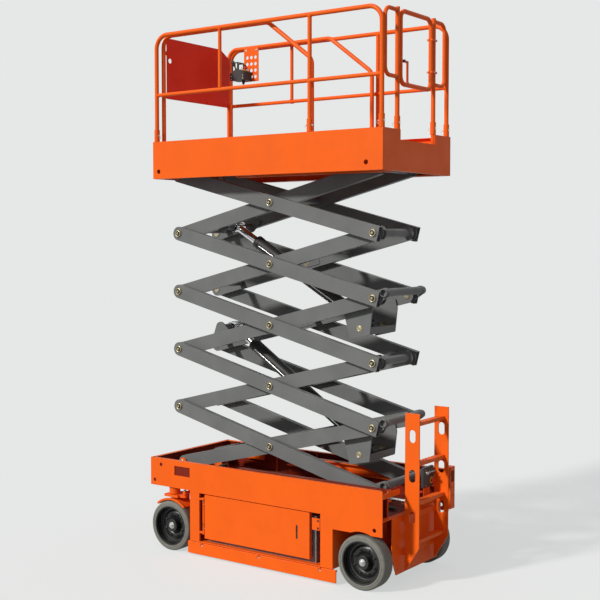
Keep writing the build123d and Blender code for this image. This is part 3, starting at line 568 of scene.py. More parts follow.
def dressWheel(end, hand):
    sign = 1 if hand == "left" else -1
    body = f"{end}_{hand}_wheel"
    centre = Vector((wheel[f"{end}X"], sign * machine["halfWidth"], wheel["hubZ"]))
    out = Vector((0, sign, 0))

    tyreMesh = bmesh.new()
    addLathe(tyreMesh, wheel["tyre"], centre, out, wheel["steps"])
    tyre = asPiece(f"{end}_{hand}_moulded_tyre", tyreMesh, body, tyreRubber)
    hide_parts(f"{end}_{hand}_tyre")

    pressing = bmesh.new()
    addLathe(pressing, wheel["pressing"], centre, out, wheel["steps"])
    for outwards, radius, wire, steps in wheel["beads"]:
        addRing(pressing, centre + out * outwards, out, radius, wire, steps)
    asPiece(f"{end}_{hand}_wheel_pressing", pressing, body, rimPaint)

    nuts = bmesh.new()
    for turn in range(wheel["nuts"]):
        angle = 2 * pi * (turn + 0.5) / wheel["nuts"]
        spot = centre + out * wheel["nutFace"] + Vector((cos(angle), 0, sin(angle))) * wheel["nutCircle"]
        addBolt(nuts, spot, out, wheel["nutAcross"], wheel["nutHeight"])
        addRod(nuts, spot, spot + out * wheel["studLength"], wheel["studRadius"], 12)
    asPiece(f"{end}_{hand}_wheel_nuts", nuts, body, rimPaint, 0.0006)

    hub = bmesh.new()
    face = centre + out * wheel["hubFace"]
    for low, high, radius, sides, endRadius in wheel["hub"]:
        addRod(hub, face + out * low, face + out * high, radius, sides, endRadius)
    middle, half = face + out * wheel["splitPinOut"], Vector(wheel["splitPin"])
    addRod(hub, middle - half, middle + half, wheel["splitPinRadius"], 8)
    asPiece(f"{end}_{hand}_hub_nut", hub, body, steelPlate, 0.0006)


for wheelEnd in ("front", "rear"):
    for wheelHand in ("left", "right"):
        dressWheel(wheelEnd, wheelHand)
print("wheels dressed")


# Drive motors inside the front wheels, on the steering yokes

driveMotor = {
    "legFace": 0.335,
    "outline": [  # radius, and distance inwards from the leg
        (0, -0.002), (0.058, -0.002), (0.058, 0.012), (0.052, 0.014), (0.052, 0.05), (0.046, 0.052),
        (0.046, 0.072), (0.041, 0.078), (0, 0.078),
    ],
    "bolts": 6, "boltCircle": 0.0475, "boltIn": 0.05,
    "ports": (-0.018, 0.018), "portIn": 0.06, "portZ": (0.03, 0.068), "portRadius": 0.009,
    "portNutZ": (0.066, 0.08), "portNut": 0.0095, "bridgeBolt": (0.06, 0.41, 0.46),
}
tieRod = {
    "behindHub": 0.11, "eyeY": 0.4365, "eyeZ": 0.4935, "rodZ": 0.478, "nutsIn": (0.05, 0.062),
    "nutLength": 0.009, "nutRadius": 0.0175,
}


def dressYoke(hand):
    sign = 1 if hand == "left" else -1
    body = f"front_{hand}_steer"
    inward = Vector((0, -sign, 0))
    start = Vector((wheel["frontX"], sign * driveMotor["legFace"], wheel["hubZ"]))
    motor, bolts = bmesh.new(), bmesh.new()
    addLathe(motor, driveMotor["outline"], start, inward, 48)
    for portX in driveMotor["ports"]:
        port = start + inward * driveMotor["portIn"] + Vector((portX, 0, 0))
        low, high = driveMotor["portZ"]
        addRod(motor, port + upZ * low, port + upZ * high, driveMotor["portRadius"], 14)
        low, high = driveMotor["portNutZ"]
        addRod(bolts, port + upZ * low, port + upZ * high, driveMotor["portNut"], 6)
    for turn in range(driveMotor["bolts"]):
        angle = 2 * pi * turn / driveMotor["bolts"]
        spot = Vector((cos(angle), 0, sin(angle))) * driveMotor["boltCircle"] + inward * driveMotor["boltIn"]
        addBolt(bolts, start + spot, inward, *boltSize["motor"])
    x, y, z = driveMotor["bridgeBolt"]
    addBolt(bolts, (wheel["frontX"] + x, sign * y, z), upZ, *boltSize["yoke"])
    asPiece(f"{hand}_drive_motor", motor, body, rimPaint, 0.001)
    asPiece(f"{hand}_drive_bolts", bolts, body, steelPlate)


for yokeHand in ("left", "right"):
    dressYoke(yokeHand)
tieRodEnds = bmesh.new()
for side in (-1, 1):
    eyeX = wheel["frontX"] - tieRod["behindHub"]
    addBolt(tieRodEnds, (eyeX, side * tieRod["eyeY"], tieRod["eyeZ"]), upZ, *boltSize["tieRod"])
    for nutIn in tieRod["nutsIn"]:
        nutY = tieRod["eyeY"] - nutIn
        addRod(
            tieRodEnds, (eyeX, side * nutY, tieRod["rodZ"]),
            (eyeX, side * (nutY - tieRod["nutLength"]), tieRod["rodZ"]), tieRod["nutRadius"], 6,
        )
asPiece("tie_rod_nuts", tieRodEnds, "steer_link", steelPlate, 0.0005)
print("steering dressed")


# Scissor stack

pinTrim = {
    "ring": 0.0235, "ringWire": 0.0034, "dish": 0.0195, "dishDepth": 0.0012, "bolt": 0.0185,
    "boltHeight": 0.0085, "collar": 0.0355, "bead": 0.0028, "baseFace": 0.2775,
}


def pinPlaces(stage):
    # the centre pin, and the pins shared with the stages below and above
    places = [machine["armPitch"] / 2]
    if stage > 1:
        places.append(0)
    if stage < machine["stages"]:
        places.append(machine["armPitch"])
    return [outerPoint(stage, along, 0, 0) for along in places]


def dressPins(stage):
    body = f"outer_stage_{stage}"
    trim, dishes, beads = bmesh.new(), bmesh.new(), bmesh.new()
    for spot in pinPlaces(stage):
        for sign in (-1, 1):
            out = Vector((0, sign, 0))
            face = Vector((spot.x, sign * machine["pinFace"], spot.z))
            addRing(trim, face, out, pinTrim["ring"], pinTrim["ringWire"], 32)
            addRod(dishes, face, face + out * pinTrim["dishDepth"], pinTrim["dish"], 28)
            addRod(trim, face, face + out * pinTrim["boltHeight"], pinTrim["bolt"] * 0.56, 6)
            arm = Vector((spot.x, sign * machine["armOutside"], spot.z))
            addRing(beads, arm, out, pinTrim["collar"], pinTrim["bead"], 32)
    asPiece(f"pin_rings_{stage}", trim, body, zincPlate, 0.0004)
    asPiece(f"pin_dishes_{stage}", dishes, body, rimPaint)
    asPiece(f"arm_collar_welds_{stage}", beads, body, armPaint)


basePinTrim = bmesh.new()
for sign in (-1, 1):
    face = Vector((machine["frontPinX"], sign * pinTrim["baseFace"], machine["basePinZ"]))
    addRing(basePinTrim, face, (0, sign, 0), pinTrim["ring"], pinTrim["ringWire"], 32)
    addBolt(basePinTrim, face, (0, sign, 0), pinTrim["bolt"], pinTrim["boltHeight"])
asPiece("base_pin_rings", basePinTrim, "base", zincPlate)

# places of the tubes by stage: distances along the inner arms, and along and above the outer arms
crossTubes = {1: (0.13, 1.08), 2: (0.56, 1.4), 3: (0.13, 1.08), 4: (0.28, 1.4), 5: (0.13, 1.08)}
endTubes = {1: (-0.072, 0.072), 2: (-0.072, 0.06), 4: (-0.072, 0.06)}
armTrim = {
    "tubeBead": 0.0315, "beadWire": 0.004, "plateLength": 0.26, "plateHeight": 0.078, "plate": 0.005,
    "crossTubeY": 0.193, "endTubeY": 0.249,
}


def dressArms(stage):
    beads = bmesh.new()
    bead = (armTrim["tubeBead"], armTrim["beadWire"], 24, 6)
    for along in crossTubes[stage]:
        for sign in (-1, 1):
            addRing(beads, innerPoint(stage, along, 0, sign * armTrim["crossTubeY"]), acrossY, *bead)
    # stiffening plates on the inner faces of the inner arms, round the centre pin
    half, high = armTrim["plateLength"] / 2, armTrim["plateHeight"] / 2
    slope = Matrix.Rotation(machine["restAngle"], 4, "Y")
    centre = Matrix.Translation(innerPoint(stage, machine["armPitch"] / 2, 0, 0))
    for sign in (-1, 1):
        part = bmesh.new()
        plateY = (machine["armInside"], machine["armInside"] - armTrim["plate"])
        addSideBox(part, sign, (-half, half), plateY, (-high, high))
        part.transform(centre @ slope)
        joinInto(beads, part)
    asPiece(f"inner_arm_welds_{stage}", beads, f"inner_stage_{stage}", armPaint, 0.0008)
    if stage in endTubes:
        ends = bmesh.new()
        for sign in (-1, 1):
            addRing(ends, outerPoint(stage, *endTubes[stage], sign * armTrim["endTubeY"]), acrossY, *bead)
        asPiece(f"end_tube_welds_{stage}", ends, f"outer_stage_{stage}", armPaint)


for stageNumber in range(1, machine["stages"] + 1):
    dressPins(stageNumber)
    dressArms(stageNumber)
print("scissor stack dressed")


# Lift rams

ram = {
    "lowEar": (1.707, -0.184), "highEars": {1: (0.387, 0.096), 3: (0.387, -0.040)}, "rodShow": 0.24,
    "barrelRadius": 0.05,
    "gland": [  # radius, and distance past the barrel's end
        (0.0308, 0.003), (0.036, 0.004), (0.043, 0.0035), (0.044, 0.0), (0.0515, -0.001), (0.0525, -0.003),
        (0.0525, -0.038), (0.0495, -0.04), (0.0495, -0.002), (0.0308, -0.002),
    ],
    "bands": (0.055, 0.16), "bandWire": 0.0028,
    "pipeFoot": 0.1, "pipeHead": 0.075, "pipeRadius": 0.0065, "pipeSide": 0.0635, "portSide": 0.078,
    "bends": (0.05, 0.085, 0.03), "clips": (0.3, 0.62, 0.9), "clipWire": 0.0022,
    "valveLow": (-0.022, -0.015, -0.03), "valveHigh": (0.022, 0.017, 0.03), "valveSide": 0.062,
    "coilSide": (0.075, 0.105, 0.111), "coilRadius": 0.017, "coilNut": 0.009,
    "eyeFace": 0.0545, "eyeRing": 0.03, "eyeWire": 0.0025,
    "pinFace": 0.19, "pinRing": 0.0185, "pinWire": 0.0024, "pinNut": 0.0095, "pinNutHeight": 0.0034,
}


def dressRam(place, stage):
    low = innerPoint(stage, *ram["lowEar"], 0)
    high = innerPoint(stage + 2, *ram["highEars"][stage], 0)
    way = (high - low).normalized()
    barrelEnd = low + way * ((high - low).length - ram["rodShow"])

    gland = bmesh.new()
    addLathe(gland, ram["gland"], barrelEnd, way, 48)
    for band in ram["bands"]:
        addRing(gland, low + way * band, way, ram["barrelRadius"], ram["bandWire"], 40)
    asPiece(f"{place}_ram_gland", gland, f"{place}_barrel", ramPaint)

    # solid pipe up the side of the barrel, its clips and the load valve at the foot
    base, head = low + way * ram["pipeFoot"], barrelEnd - way * ram["pipeHead"]
    port, run = acrossY * ram["portSide"], acrossY * ram["pipeSide"]
    leave, lean, straight = (way * bend for bend in ram["bends"])
    pipe = bmesh.new()
    addPipe(pipe, [
        base + acrossY * ram["barrelRadius"], base + port, base + leave + port, base + lean + run,
        head - straight + run, head + run, head + acrossY * (ram["barrelRadius"] - 0.004),
    ], ram["pipeRadius"])
    for share in ram["clips"]:
        addRing(pipe, base.lerp(head, share) + run, way, ram["pipeRadius"] + 0.001, ram["clipWire"], 16, 6)
    asPiece(f"{place}_ram_pipe", pipe, f"{place}_barrel", steelPlate)

    valve, block = bmesh.new(), bmesh.new()
    addBox(block, ram["valveLow"], ram["valveHigh"])
    turn = Matrix((way.cross(acrossY), -acrossY, way)).transposed().to_4x4()
    block.transform(Matrix.Translation(base - acrossY * ram["valveSide"]) @ turn)
    joinInto(valve, block)
    coil, coilEnd, nutEnd = (base - acrossY * side for side in ram["coilSide"])
    addRod(valve, coil, coilEnd, ram["coilRadius"], 24)
    addRod(valve, coilEnd, nutEnd, ram["coilNut"], 6)
    asPiece(f"{place}_ram_valve", valve, f"{place}_barrel", boxPlastic, 0.001)

    feet, pinEnds, eyes = bmesh.new(), bmesh.new(), bmesh.new()
    for sign in (-1, 1):
        eye = acrossY * sign * ram["eyeFace"]
        addRing(feet, low + eye, acrossY, ram["eyeRing"], ram["eyeWire"], 32)
        addRing(eyes, high + eye, acrossY, ram["eyeRing"], ram["eyeWire"], 32)
        pinFace = low + acrossY * sign * ram["pinFace"]
        addRing(pinEnds, pinFace, acrossY, ram["pinRing"], ram["pinWire"], 32)
        addRod(pinEnds, pinFace, pinFace + acrossY * sign * ram["pinNutHeight"], ram["pinNut"], 6)
    asPiece(f"{place}_ram_foot_rings", feet, f"{place}_barrel", ramPaint)
    asPiece(f"{place}_ram_pin_ends", pinEnds, f"inner_stage_{stage}", zincPlate)
    asPiece(f"{place}_ram_eye_rings", eyes, f"{place}_rod", ramPaint)


dressRam("lower", 1)
dressRam("upper", 3)
print("rams dressed")


# Chassis

chassis = {
    "lipX": (machine["rearX"] + 0.02, machine["frontX"] - 0.004), "lipY": (0.495, 0.468),
    "lipZ": (machine["topZ"] - 0.005, machine["topZ"] - 0.0005),
    "frontLipX": (machine["frontX"] - 0.03, machine["frontX"] - 0.006), "frontLipY": 0.494,
    "skirtX": (-0.62, 0.766), "skirtZ": (0.1175, 0.1225), "bayX": (-0.51, 0.668), "bayZ": (0.125, 0.516),
    "flange": 0.004, "flangeY": (0.494, 0.482), "ribs": (-0.3, 0.2, 0.62), "rib": 0.004,
    "ribY": (0.494, 0.476), "ribZ": (machine["floorZ"], machine["topZ"] - 0.004),
    "earY": (0.182, 0.256), "earBead": 0.008, "earBeadHalf": 0.075, "earBeadZ": machine["floorZ"] + 0.002,
    "cornerX": machine["frontX"] - 0.008, "cornerY": 0.492, "cornerZ": 0.744, "cornerBead": 0.004,
}
lashing = {
    "x": 0.85, "y": 0.479, "z": 0.663, "ring": 0.024, "wire": 0.0045, "barHalf": 0.034, "bar": 0.006,
    "boltShift": 0.055, "boltY": 0.4655, "boltZ": 0.667,
}
bayBracket = {
    "z": (0.385, 0.475), "faceX": (-0.5, -0.43), "faceY": (0.494, 0.488), "legX": (-0.503, -0.497),
    "legY": (0.488, 0.45), "boltX": -0.485, "boltZ": (0.402, 0.458),
}


def dressChassis():
    lips = bmesh.new()
    (bayLowX, bayHighX), (_, bayTop), flange = chassis["bayX"], chassis["bayZ"], chassis["flange"]
    for sign in (-1, 1):
        addSideBox(lips, sign, chassis["lipX"], chassis["lipY"], chassis["lipZ"])
        # folded edge under the skirt, and flanges round the bay
        addSideBox(lips, sign, chassis["skirtX"], chassis["lipY"], chassis["skirtZ"])
        for xs, zs in (
            ((bayLowX - flange, bayLowX), chassis["bayZ"]), ((bayHighX, bayHighX + flange), chassis["bayZ"]),
            (chassis["bayX"], (bayTop, bayTop + flange)),
        ):
            addSideBox(lips, sign, xs, chassis["flangeY"], zs)
        # stiffening ribs inside the tub's wall
        for ribX in chassis["ribs"]:
            xs = (ribX - chassis["rib"], ribX + chassis["rib"])
            addSideBox(lips, sign, xs, chassis["ribY"], chassis["ribZ"])
    addMiddleBox(lips, chassis["frontLipX"], chassis["frontLipY"], chassis["lipZ"])
    asPiece("chassis_lips", lips, "base", orangePaint, 0.0012)

    # steel lashing rings in the front slots, and latch brackets in the gap behind the tray doors
    rings, brackets, bolts = bmesh.new(), bmesh.new(), bmesh.new()
    for sign in (-1, 1):
        out = Vector((0, sign, 0))
        eye = Vector((lashing["x"], sign * lashing["y"], lashing["z"]))
        addRing(rings, eye, acrossY, lashing["ring"], lashing["wire"], 32)
        bar, half = eye + upZ * lashing["ring"], Vector((lashing["barHalf"], 0, 0))
        addRod(rings, bar - half, bar + half, lashing["bar"], 14)
        for side in (-1, 1):
            spot = (lashing["x"] + side * lashing["boltShift"], sign * lashing["boltY"], lashing["boltZ"])
            addBolt(bolts, spot, out, *boltSize["lashing"])
        addSideBox(brackets, sign, bayBracket["faceX"], bayBracket["faceY"], bayBracket["z"])
        addSideBox(brackets, sign, bayBracket["legX"], bayBracket["legY"], bayBracket["z"])
        for boltZ in bayBracket["boltZ"]:
            spot = (bayBracket["boltX"], sign * bayBracket["faceY"][0], boltZ)
            addBolt(bolts, spot, out, *boltSize["bayBracket"])
    asPiece("lashing_rings", rings, "base", steelPlate)
    asPiece("bay_brackets", brackets, "base", orangePaint, 0.001)
    asPiece("bay_bolts", bolts, "base", rimPaint)

    # weld beads at the feet of the front pins' ears, and down the front corners
    beads = bmesh.new()
    pinX, half, beadZ = machine["frontPinX"], chassis["earBeadHalf"], chassis["earBeadZ"]
    cornerX = chassis["cornerX"]
    for sign in (-1, 1):
        for earY in chassis["earY"]:
            ends = [(pinX + way * half, sign * earY, beadZ) for way in (-1, 1)]
            addRod(beads, *ends, chassis["earBead"], 8)
        ends = [(cornerX, sign * chassis["cornerY"], z) for z in (machine["floorZ"], chassis["cornerZ"])]
        addRod(beads, *ends, chassis["cornerBead"], 8)
    asPiece("chassis_weld_beads", beads, "base", weldPaint)


# sizes of the painted-shade sheets laid inside the tub
tubShadeSheets = {
    "x": (-1.0, 1.182), "trackX": (-1.0, 0.39), "floorZ": (0.53, 0.534), "wallZ": (0.531, 0.745),
    "middleY": 0.3525, "outerY": (0.365, 0.49), "frontX": (1.179, 1.184), "frontY": 0.49,
    "sideY": (0.49, 0.4935),
    "webs": (  # across, and up
        ((0.3515, 0.354), (0.531, 0.64)), ((0.3585, 0.361), (0.531, 0.7255)),
        ((0.308, 0.361), (0.7245, 0.727)),
    ),
}


def paintTubShade():
    # painted shade: dark red sheets over the tub's floor, walls and track webs, standing in for the shade
    # inside the tub
    sheets = bmesh.new()
    addMiddleBox(sheets, tubShadeSheets["x"], tubShadeSheets["middleY"], tubShadeSheets["floorZ"])
    addMiddleBox(sheets, tubShadeSheets["frontX"], tubShadeSheets["frontY"], tubShadeSheets["wallZ"])
    for sign in (-1, 1):
        addSideBox(sheets, sign, tubShadeSheets["x"], tubShadeSheets["sideY"], tubShadeSheets["wallZ"])
        addSideBox(sheets, sign, tubShadeSheets["x"], tubShadeSheets["outerY"], tubShadeSheets["floorZ"])
        for ys, zs in tubShadeSheets["webs"]:
            addSideBox(sheets, sign, tubShadeSheets["trackX"], ys, zs)
    asPiece("tub_painted_shade", sheets, "base", tubShadePaint)


tub = {
    "pipeX": (-0.93, 0.2, 0.26, 0.9), "pipeY": (-0.12, -0.146), "pipeJog": 0.04, "pipeUp": 0.012,
    "pipeRadius": 0.008, "clips": (-0.75, -0.3, 0.1), "clipHalf": 0.01, "clipY": (-0.165, -0.1),
    "clipUp": 0.004, "clipRing": 0.0095, "clipWire": 0.0018, "clipBoltY": -0.106,
    "ductX": (-0.95, 0.86), "ductY": (0.13, 0.17), "ductUp": 0.026, "ductClips": (-0.8, -0.4, 0.0, 0.4, 0.75),
    "ductClipHalf": 0.012, "ductClipY": (0.124, 0.176), "ductClipUp": 0.029,
    "manifoldX": (0.9, 1.0), "manifoldY": (-0.17, -0.06), "manifoldUp": 0.055,
    "coilX": 0.925, "coilY": (-0.15, -0.115, -0.08), "coilUp": 0.085, "coilRadius": 0.014,
    "coilNutUp": 0.093, "coilNut": 0.007, "plugX": (0.94, 0.955), "plugHalf": 0.009, "plugUp": (0.06, 0.08),
}


def dressTub():
    # hydraulic pipes and a cable duct along the floor, the manifold and its coils
    floor = machine["floorZ"]
    pipes = bmesh.new()
    for y in tub["pipeY"]:
        jogged = y - tub["pipeJog"]
        route = zip(tub["pipeX"], (y, y, jogged, jogged))
        addPipe(pipes, [(pipeX, pipeY, floor + tub["pipeUp"]) for pipeX, pipeY in route], tub["pipeRadius"])
    asPiece("floor_pipes", pipes, "base", steelPlate)

    duct = bmesh.new()
    addSideBox(duct, 1, tub["ductX"], tub["ductY"], (floor, floor + tub["ductUp"]))
    for clipX in tub["ductClips"]:
        xs = (clipX - tub["ductClipHalf"], clipX + tub["ductClipHalf"])
        addSideBox(duct, 1, xs, tub["ductClipY"], (floor, floor + tub["ductClipUp"]))
    asPiece("cable_duct", duct, "base", boxPlastic, 0.002)

    clips = bmesh.new()
    for clipX in tub["clips"]:
        xs = (clipX - tub["clipHalf"], clipX + tub["clipHalf"])
        addSideBox(clips, 1, xs, tub["clipY"], (floor, floor + tub["clipUp"]))
        for pipeY in tub["pipeY"]:
            centre = (clipX, pipeY, floor + tub["pipeUp"])
            addRing(clips, centre, (1, 0, 0), tub["clipRing"], tub["clipWire"], 20, 6)
        addBolt(clips, (clipX, tub["clipBoltY"], floor + tub["clipUp"]), upZ, *boltSize["pipeClip"])
    asPiece("pipe_clips", clips, "base", zincPlate)

    manifold, coils = bmesh.new(), bmesh.new()
    addSideBox(manifold, 1, tub["manifoldX"], tub["manifoldY"], (floor, floor + tub["manifoldUp"]))
    asPiece("manifold", manifold, "base", steelPlate, 0.002)
    lowPlug, highPlug = tub["plugUp"]
    for coilY in tub["coilY"]:
        foot, head, nut = (
            (tub["coilX"], coilY, floor + up) for up in (tub["manifoldUp"], tub["coilUp"], tub["coilNutUp"])
        )
        addRod(coils, foot, head, tub["coilRadius"], 20)
        addRod(coils, head, nut, tub["coilNut"], 6)
        ys = (coilY - tub["plugHalf"], coilY + tub["plugHalf"])
        addSideBox(coils, 1, tub["plugX"], ys, (floor + lowPlug, floor + highPlug))
    asPiece("valve_coils", coils, "base", boxPlastic, 0.001)


mushroom = [  # outline of a stop button's head and stem
    (0, 0.024), (0.012, 0.0235), (0.019, 0.02), (0.0205, 0.016), (0.018, 0.012), (0.01, 0.011),
    (0.009, 0.0), (0, 0.0),
]
pullKnob = [
    (0, 0.026), (0.01, 0.025), (0.013, 0.02), (0.009, 0.012), (0.005, 0.01), (0.005, 0.0), (0, 0.0),
]
rearControls = {
    "boxes": (  # behind the rear face, across and up
        ((0.02, -0.004), (-0.215, -0.06), (0.675, 0.83)), ((0.026, 0.018), (-0.207, -0.068), (0.683, 0.822)),
        ((0.014, 0.0), (0.06, 0.16), (0.585, 0.675)),
    ),
    "plate": ((0.003, -0.001), (-0.185, -0.09), (0.58, 0.705)), "face": 0.026,
    "switchY": (-0.18, -0.135), "switchZ": 0.79, "switchNut": (0.003, 0.011), "switchNeck": (0.012, 0.006),
    "toggleOut": (0.01, 0.024), "toggleUp": 0.008, "toggle": (0.0028, 0.0042),
    "keyY": -0.09, "keyBarrel": (0.008, 0.012), "keyOut": 0.014, "keySize": (0.008, 0.002, 0.009),
    "stopY": -0.165, "stopZ": 0.725, "stopBase": (0.005, 0.026), "knobY": (-0.03, 0.03), "knobZ": 0.655,
    "socket": (0.014, 0.11, 0.63), "socketRing": (0.01, 0.032), "lid": (0.015, 0.029),
    "lidCatch": ((-0.015, -0.007, 0.024), (-0.008, 0.007, 0.042)),
    "boltY": (-0.197, -0.078), "boltZ": (0.693, 0.812), "plateBoltY": 0.285, "plateBoltZ": (0.14, 0.3, 0.42),
}
housing = {
    "insert": ((0.0385, 0.036), (-0.489, -0.441), (0.661, 0.749)), "leverY": -0.465, "lever": 0.005,
    "leverOut": (0.038, 0.047), "leverZ": (0.69, 0.72), "ball": 0.008, "ballOut": 0.041, "ballZ": 0.722,
    "boltOut": 0.05, "boltY": (-0.486, -0.444), "boltZ": (0.475, 0.555, 0.62, 0.765),
}


def addRearBox(bm, behind, ys, zs):
    addSideBox(bm, 1, tuple(machine["rearX"] - depth for depth in behind), ys, zs)


def dressRear():
    # what shows through the ladder: ground controls, charger socket, release knobs and housing
    rear, back = machine["rearX"], Vector((-1, 0, 0))
    face = rear - rearControls["face"]
    panel, plate = bmesh.new(), bmesh.new()
    for box in rearControls["boxes"]:
        addRearBox(panel, *box)
    asPiece("ground_controls", panel, "base", boxPlastic, 0.003)
    addRearBox(plate, *rearControls["plate"])
    asPiece("ground_controls_bracket", plate, "base", orangePaint, 0.001)

    switches = bmesh.new()
    (nutOut, nutRadius), (neckOut, neckRadius) = rearControls["switchNut"], rearControls["switchNeck"]
    (toggleIn, toggleOut), (thin, thick) = rearControls["toggleOut"], rearControls["toggle"]
    for switchY in rearControls["switchY"]:
        spot = Vector((face, switchY, rearControls["switchZ"]))
        tip = spot + back * toggleOut + upZ * rearControls["toggleUp"]
        addRod(switches, spot, spot + back * nutOut, nutRadius, 6)
        addRod(switches, spot, spot + back * neckOut, neckRadius, 14)
        addRod(switches, spot + back * toggleIn, tip, thin, 10, thick)
    keyFace = Vector((face, rearControls["keyY"], rearControls["switchZ"]))
    barrelOut, barrelRadius = rearControls["keyBarrel"]
    addRod(switches, keyFace, keyFace + back * barrelOut, barrelRadius, 24)
    key, half = keyFace + back * rearControls["keyOut"], Vector(rearControls["keySize"])
    addBox(switches, key - half, key + half)
    socketOut, socketY, socketZ = rearControls["socket"]
    socket = Vector((rear - socketOut, socketY, socketZ))
    ringOut, ringRadius = rearControls["socketRing"]
    addRod(switches, socket, socket + back * ringOut, ringRadius, 32)
    asPiece("ground_switches", switches, "base", steelPlate, 0.0005)

    stop, ring, lid = bmesh.new(), bmesh.new(), bmesh.new()
    stopFace = Vector((face, rearControls["stopY"], rearControls["stopZ"]))
    addLathe(stop, mushroom, stopFace, back, 32)
    for knobY in rearControls["knobY"]:
        addLathe(stop, pullKnob, (rear, knobY, rearControls["knobZ"]), back, 24)
    asPiece("ground_stop_button", stop, "base", redPlastic)
    baseOut, baseRadius = rearControls["stopBase"]
    addRod(ring, stopFace, stopFace + back * baseOut, baseRadius, 32)
    asPiece("ground_stop_base", ring, "base", yellowPlastic, 0.001)
    lidOut, lidRadius = rearControls["lid"]
    addRod(lid, socket + back * ringOut, socket + back * lidOut, lidRadius, 32)
    addBox(lid, *(socket + Vector(corner) for corner in rearControls["lidCatch"]))
    asPiece("charger_lid", lid, "base", boxPlastic, 0.001)

    # dark insert and lever in the corner housing
    insert = bmesh.new()
    addRearBox(insert, *housing["insert"])
    leverEnds = [(rear - out, housing["leverY"], z) for out, z in zip(housing["leverOut"], housing["leverZ"])]
    addRod(insert, *leverEnds, housing["lever"], 12)
    ball = Matrix.Translation((rear - housing["ballOut"], housing["leverY"], housing["ballZ"]))
    bmesh.ops.create_uvsphere(insert, u_segments=16, v_segments=10, radius=housing["ball"], matrix=ball)
    asPiece("housing_insert", insert, "base", boxPlastic, 0.001)

    trim = bmesh.new()
    for boltY in rearControls["boltY"]:
        for boltZ in rearControls["boltZ"]:
            addBolt(trim, (face, boltY, boltZ), back, *boltSize["rearPanel"])
    for boltZ in housing["boltZ"]:
        for boltY in housing["boltY"]:
            addBolt(trim, (rear - housing["boltOut"], boltY, boltZ), back, *boltSize["housing"])
    for sign in (-1, 1):
        for boltZ in rearControls["plateBoltZ"]:
            spot = (rear, sign * rearControls["plateBoltY"], boltZ)
            addBolt(trim, spot, back, *boltSize["rearPlate"])
    asPiece("rear_bolts", trim, "base", weldPaint)


ladderTrim = {
    "x": -1.131, "rungTops": (1.213, 0.918, 0.633, 0.343), "holes": 9, "holePitch": 0.044,
    "holeShift": 0.014, "hole": 0.0075, "holeWire": 0.0022, "rungHalf": 0.026, "beadY": 0.2145,
    "beadDown": 0.0135, "bead": 0.004, "boltX": -1.082, "boltY": 0.224, "boltZ": (0.25, 0.5),
}


def dressLadder():
    # upset rings of the rungs' grip holes, and the bolts through the side plates
    grip, bolts = bmesh.new(), bmesh.new()
    x, half = ladderTrim["x"], ladderTrim["rungHalf"]
    for topZ in ladderTrim["rungTops"]:
        for step in range(ladderTrim["holes"]):
            y = (step - (ladderTrim["holes"] - 1) / 2) * ladderTrim["holePitch"]
            for side in (-1, 1):
                centre = (x + side * ladderTrim["holeShift"], y, topZ)
                addRing(grip, centre, upZ, ladderTrim["hole"], ladderTrim["holeWire"], 14, 6)
        for sign in (-1, 1):
            beadY, beadZ = sign * ladderTrim["beadY"], topZ - ladderTrim["beadDown"]
            addRod(grip, (x - half, beadY, beadZ), (x + half, beadY, beadZ), ladderTrim["bead"], 8)
    for sign in (-1, 1):
        for boltZ in ladderTrim["boltZ"]:
            spot = (ladderTrim["boltX"], sign * ladderTrim["boltY"], boltZ)
            addBolt(bolts, spot, (0, sign, 0), *boltSize["ladder"])
    asPiece("rung_grips", grip, "base", orangePaint)
    asPiece("ladder_bolts", bolts, "base", weldPaint)


dressChassis()
paintTubShade()
dressTub()
dressRear()
dressLadder()
print("chassis dressed")


# Tray doors and pothole guards

trayTrim = {
    "panX": (-0.315, -0.275), "panY": (0.496, 0.474), "panZ": (0.281, 0.413),
    "leverX": (-0.2985, -0.2915), "leverY": (0.496, 0.499), "leverZ": (0.302, 0.392),
    "strapZ": (0.43, 0.236), "boltX": 0.624, "boltY": 0.492, "boltShift": 0.012,
    "hingeX": 0.632, "hingeY": 0.488, "hingeUp": 0.028, "hinge": 0.0095, "hingeWire": 0.0022,
}
guardTrim = {
    "lugs": (-0.4, -0.15, 0.25, 0.5), "lugY": 0.484, "lugZ": 0.104, "lug": 0.0085, "lugWire": 0.0025,
    "foldX": (-0.64, 0.79), "foldY": (0.4865, 0.4785), "foldZ": (0.0145, 0.0205),
}


def dressTray(hand):
    sign = 1 if hand == "left" else -1
    body = f"{hand}_tray"
    pan, lever, straps = bmesh.new(), bmesh.new(), bmesh.new()
    addSideBox(pan, sign, trayTrim["panX"], trayTrim["panY"], trayTrim["panZ"])
    asPiece(f"{hand}_tray_latch_pan", pan, body, boxPlastic, 0.002)
    addSideBox(lever, sign, trayTrim["leverX"], trayTrim["leverY"], trayTrim["leverZ"])
    asPiece(f"{hand}_tray_latch_lever", lever, body, rimPaint, 0.0008)
    for strapZ in trayTrim["strapZ"]:
        for side in (-1, 1):
            spot = (trayTrim["boltX"], sign * trayTrim["boltY"], strapZ + side * trayTrim["boltShift"])
            addBolt(straps, spot, (0, sign, 0), *boltSize["strap"])
        centre = (trayTrim["hingeX"], sign * trayTrim["hingeY"], strapZ + trayTrim["hingeUp"])
        addRing(straps, centre, upZ, trayTrim["hinge"], trayTrim["hingeWire"], 20)
    asPiece(f"{hand}_tray_hinge_bolts", straps, body, rimPaint)


def dressGuard(hand):
    sign = 1 if hand == "left" else -1
    trim = bmesh.new()
    for lugX in guardTrim["lugs"]:
        centre = (lugX, sign * guardTrim["lugY"], guardTrim["lugZ"])
        addRing(trim, centre, (1, 0, 0), guardTrim["lug"], guardTrim["lugWire"], 18, 6)
    addSideBox(trim, sign, guardTrim["foldX"], guardTrim["foldY"], guardTrim["foldZ"])
    asPiece(f"{hand}_guard_welds", trim, f"{hand}_pothole_guard_body", orangePaint, 0.0008)


for trayHand in ("left", "right"):
    dressTray(trayHand)
    dressGuard(trayHand)
print("trays and guards dressed")


# Platform

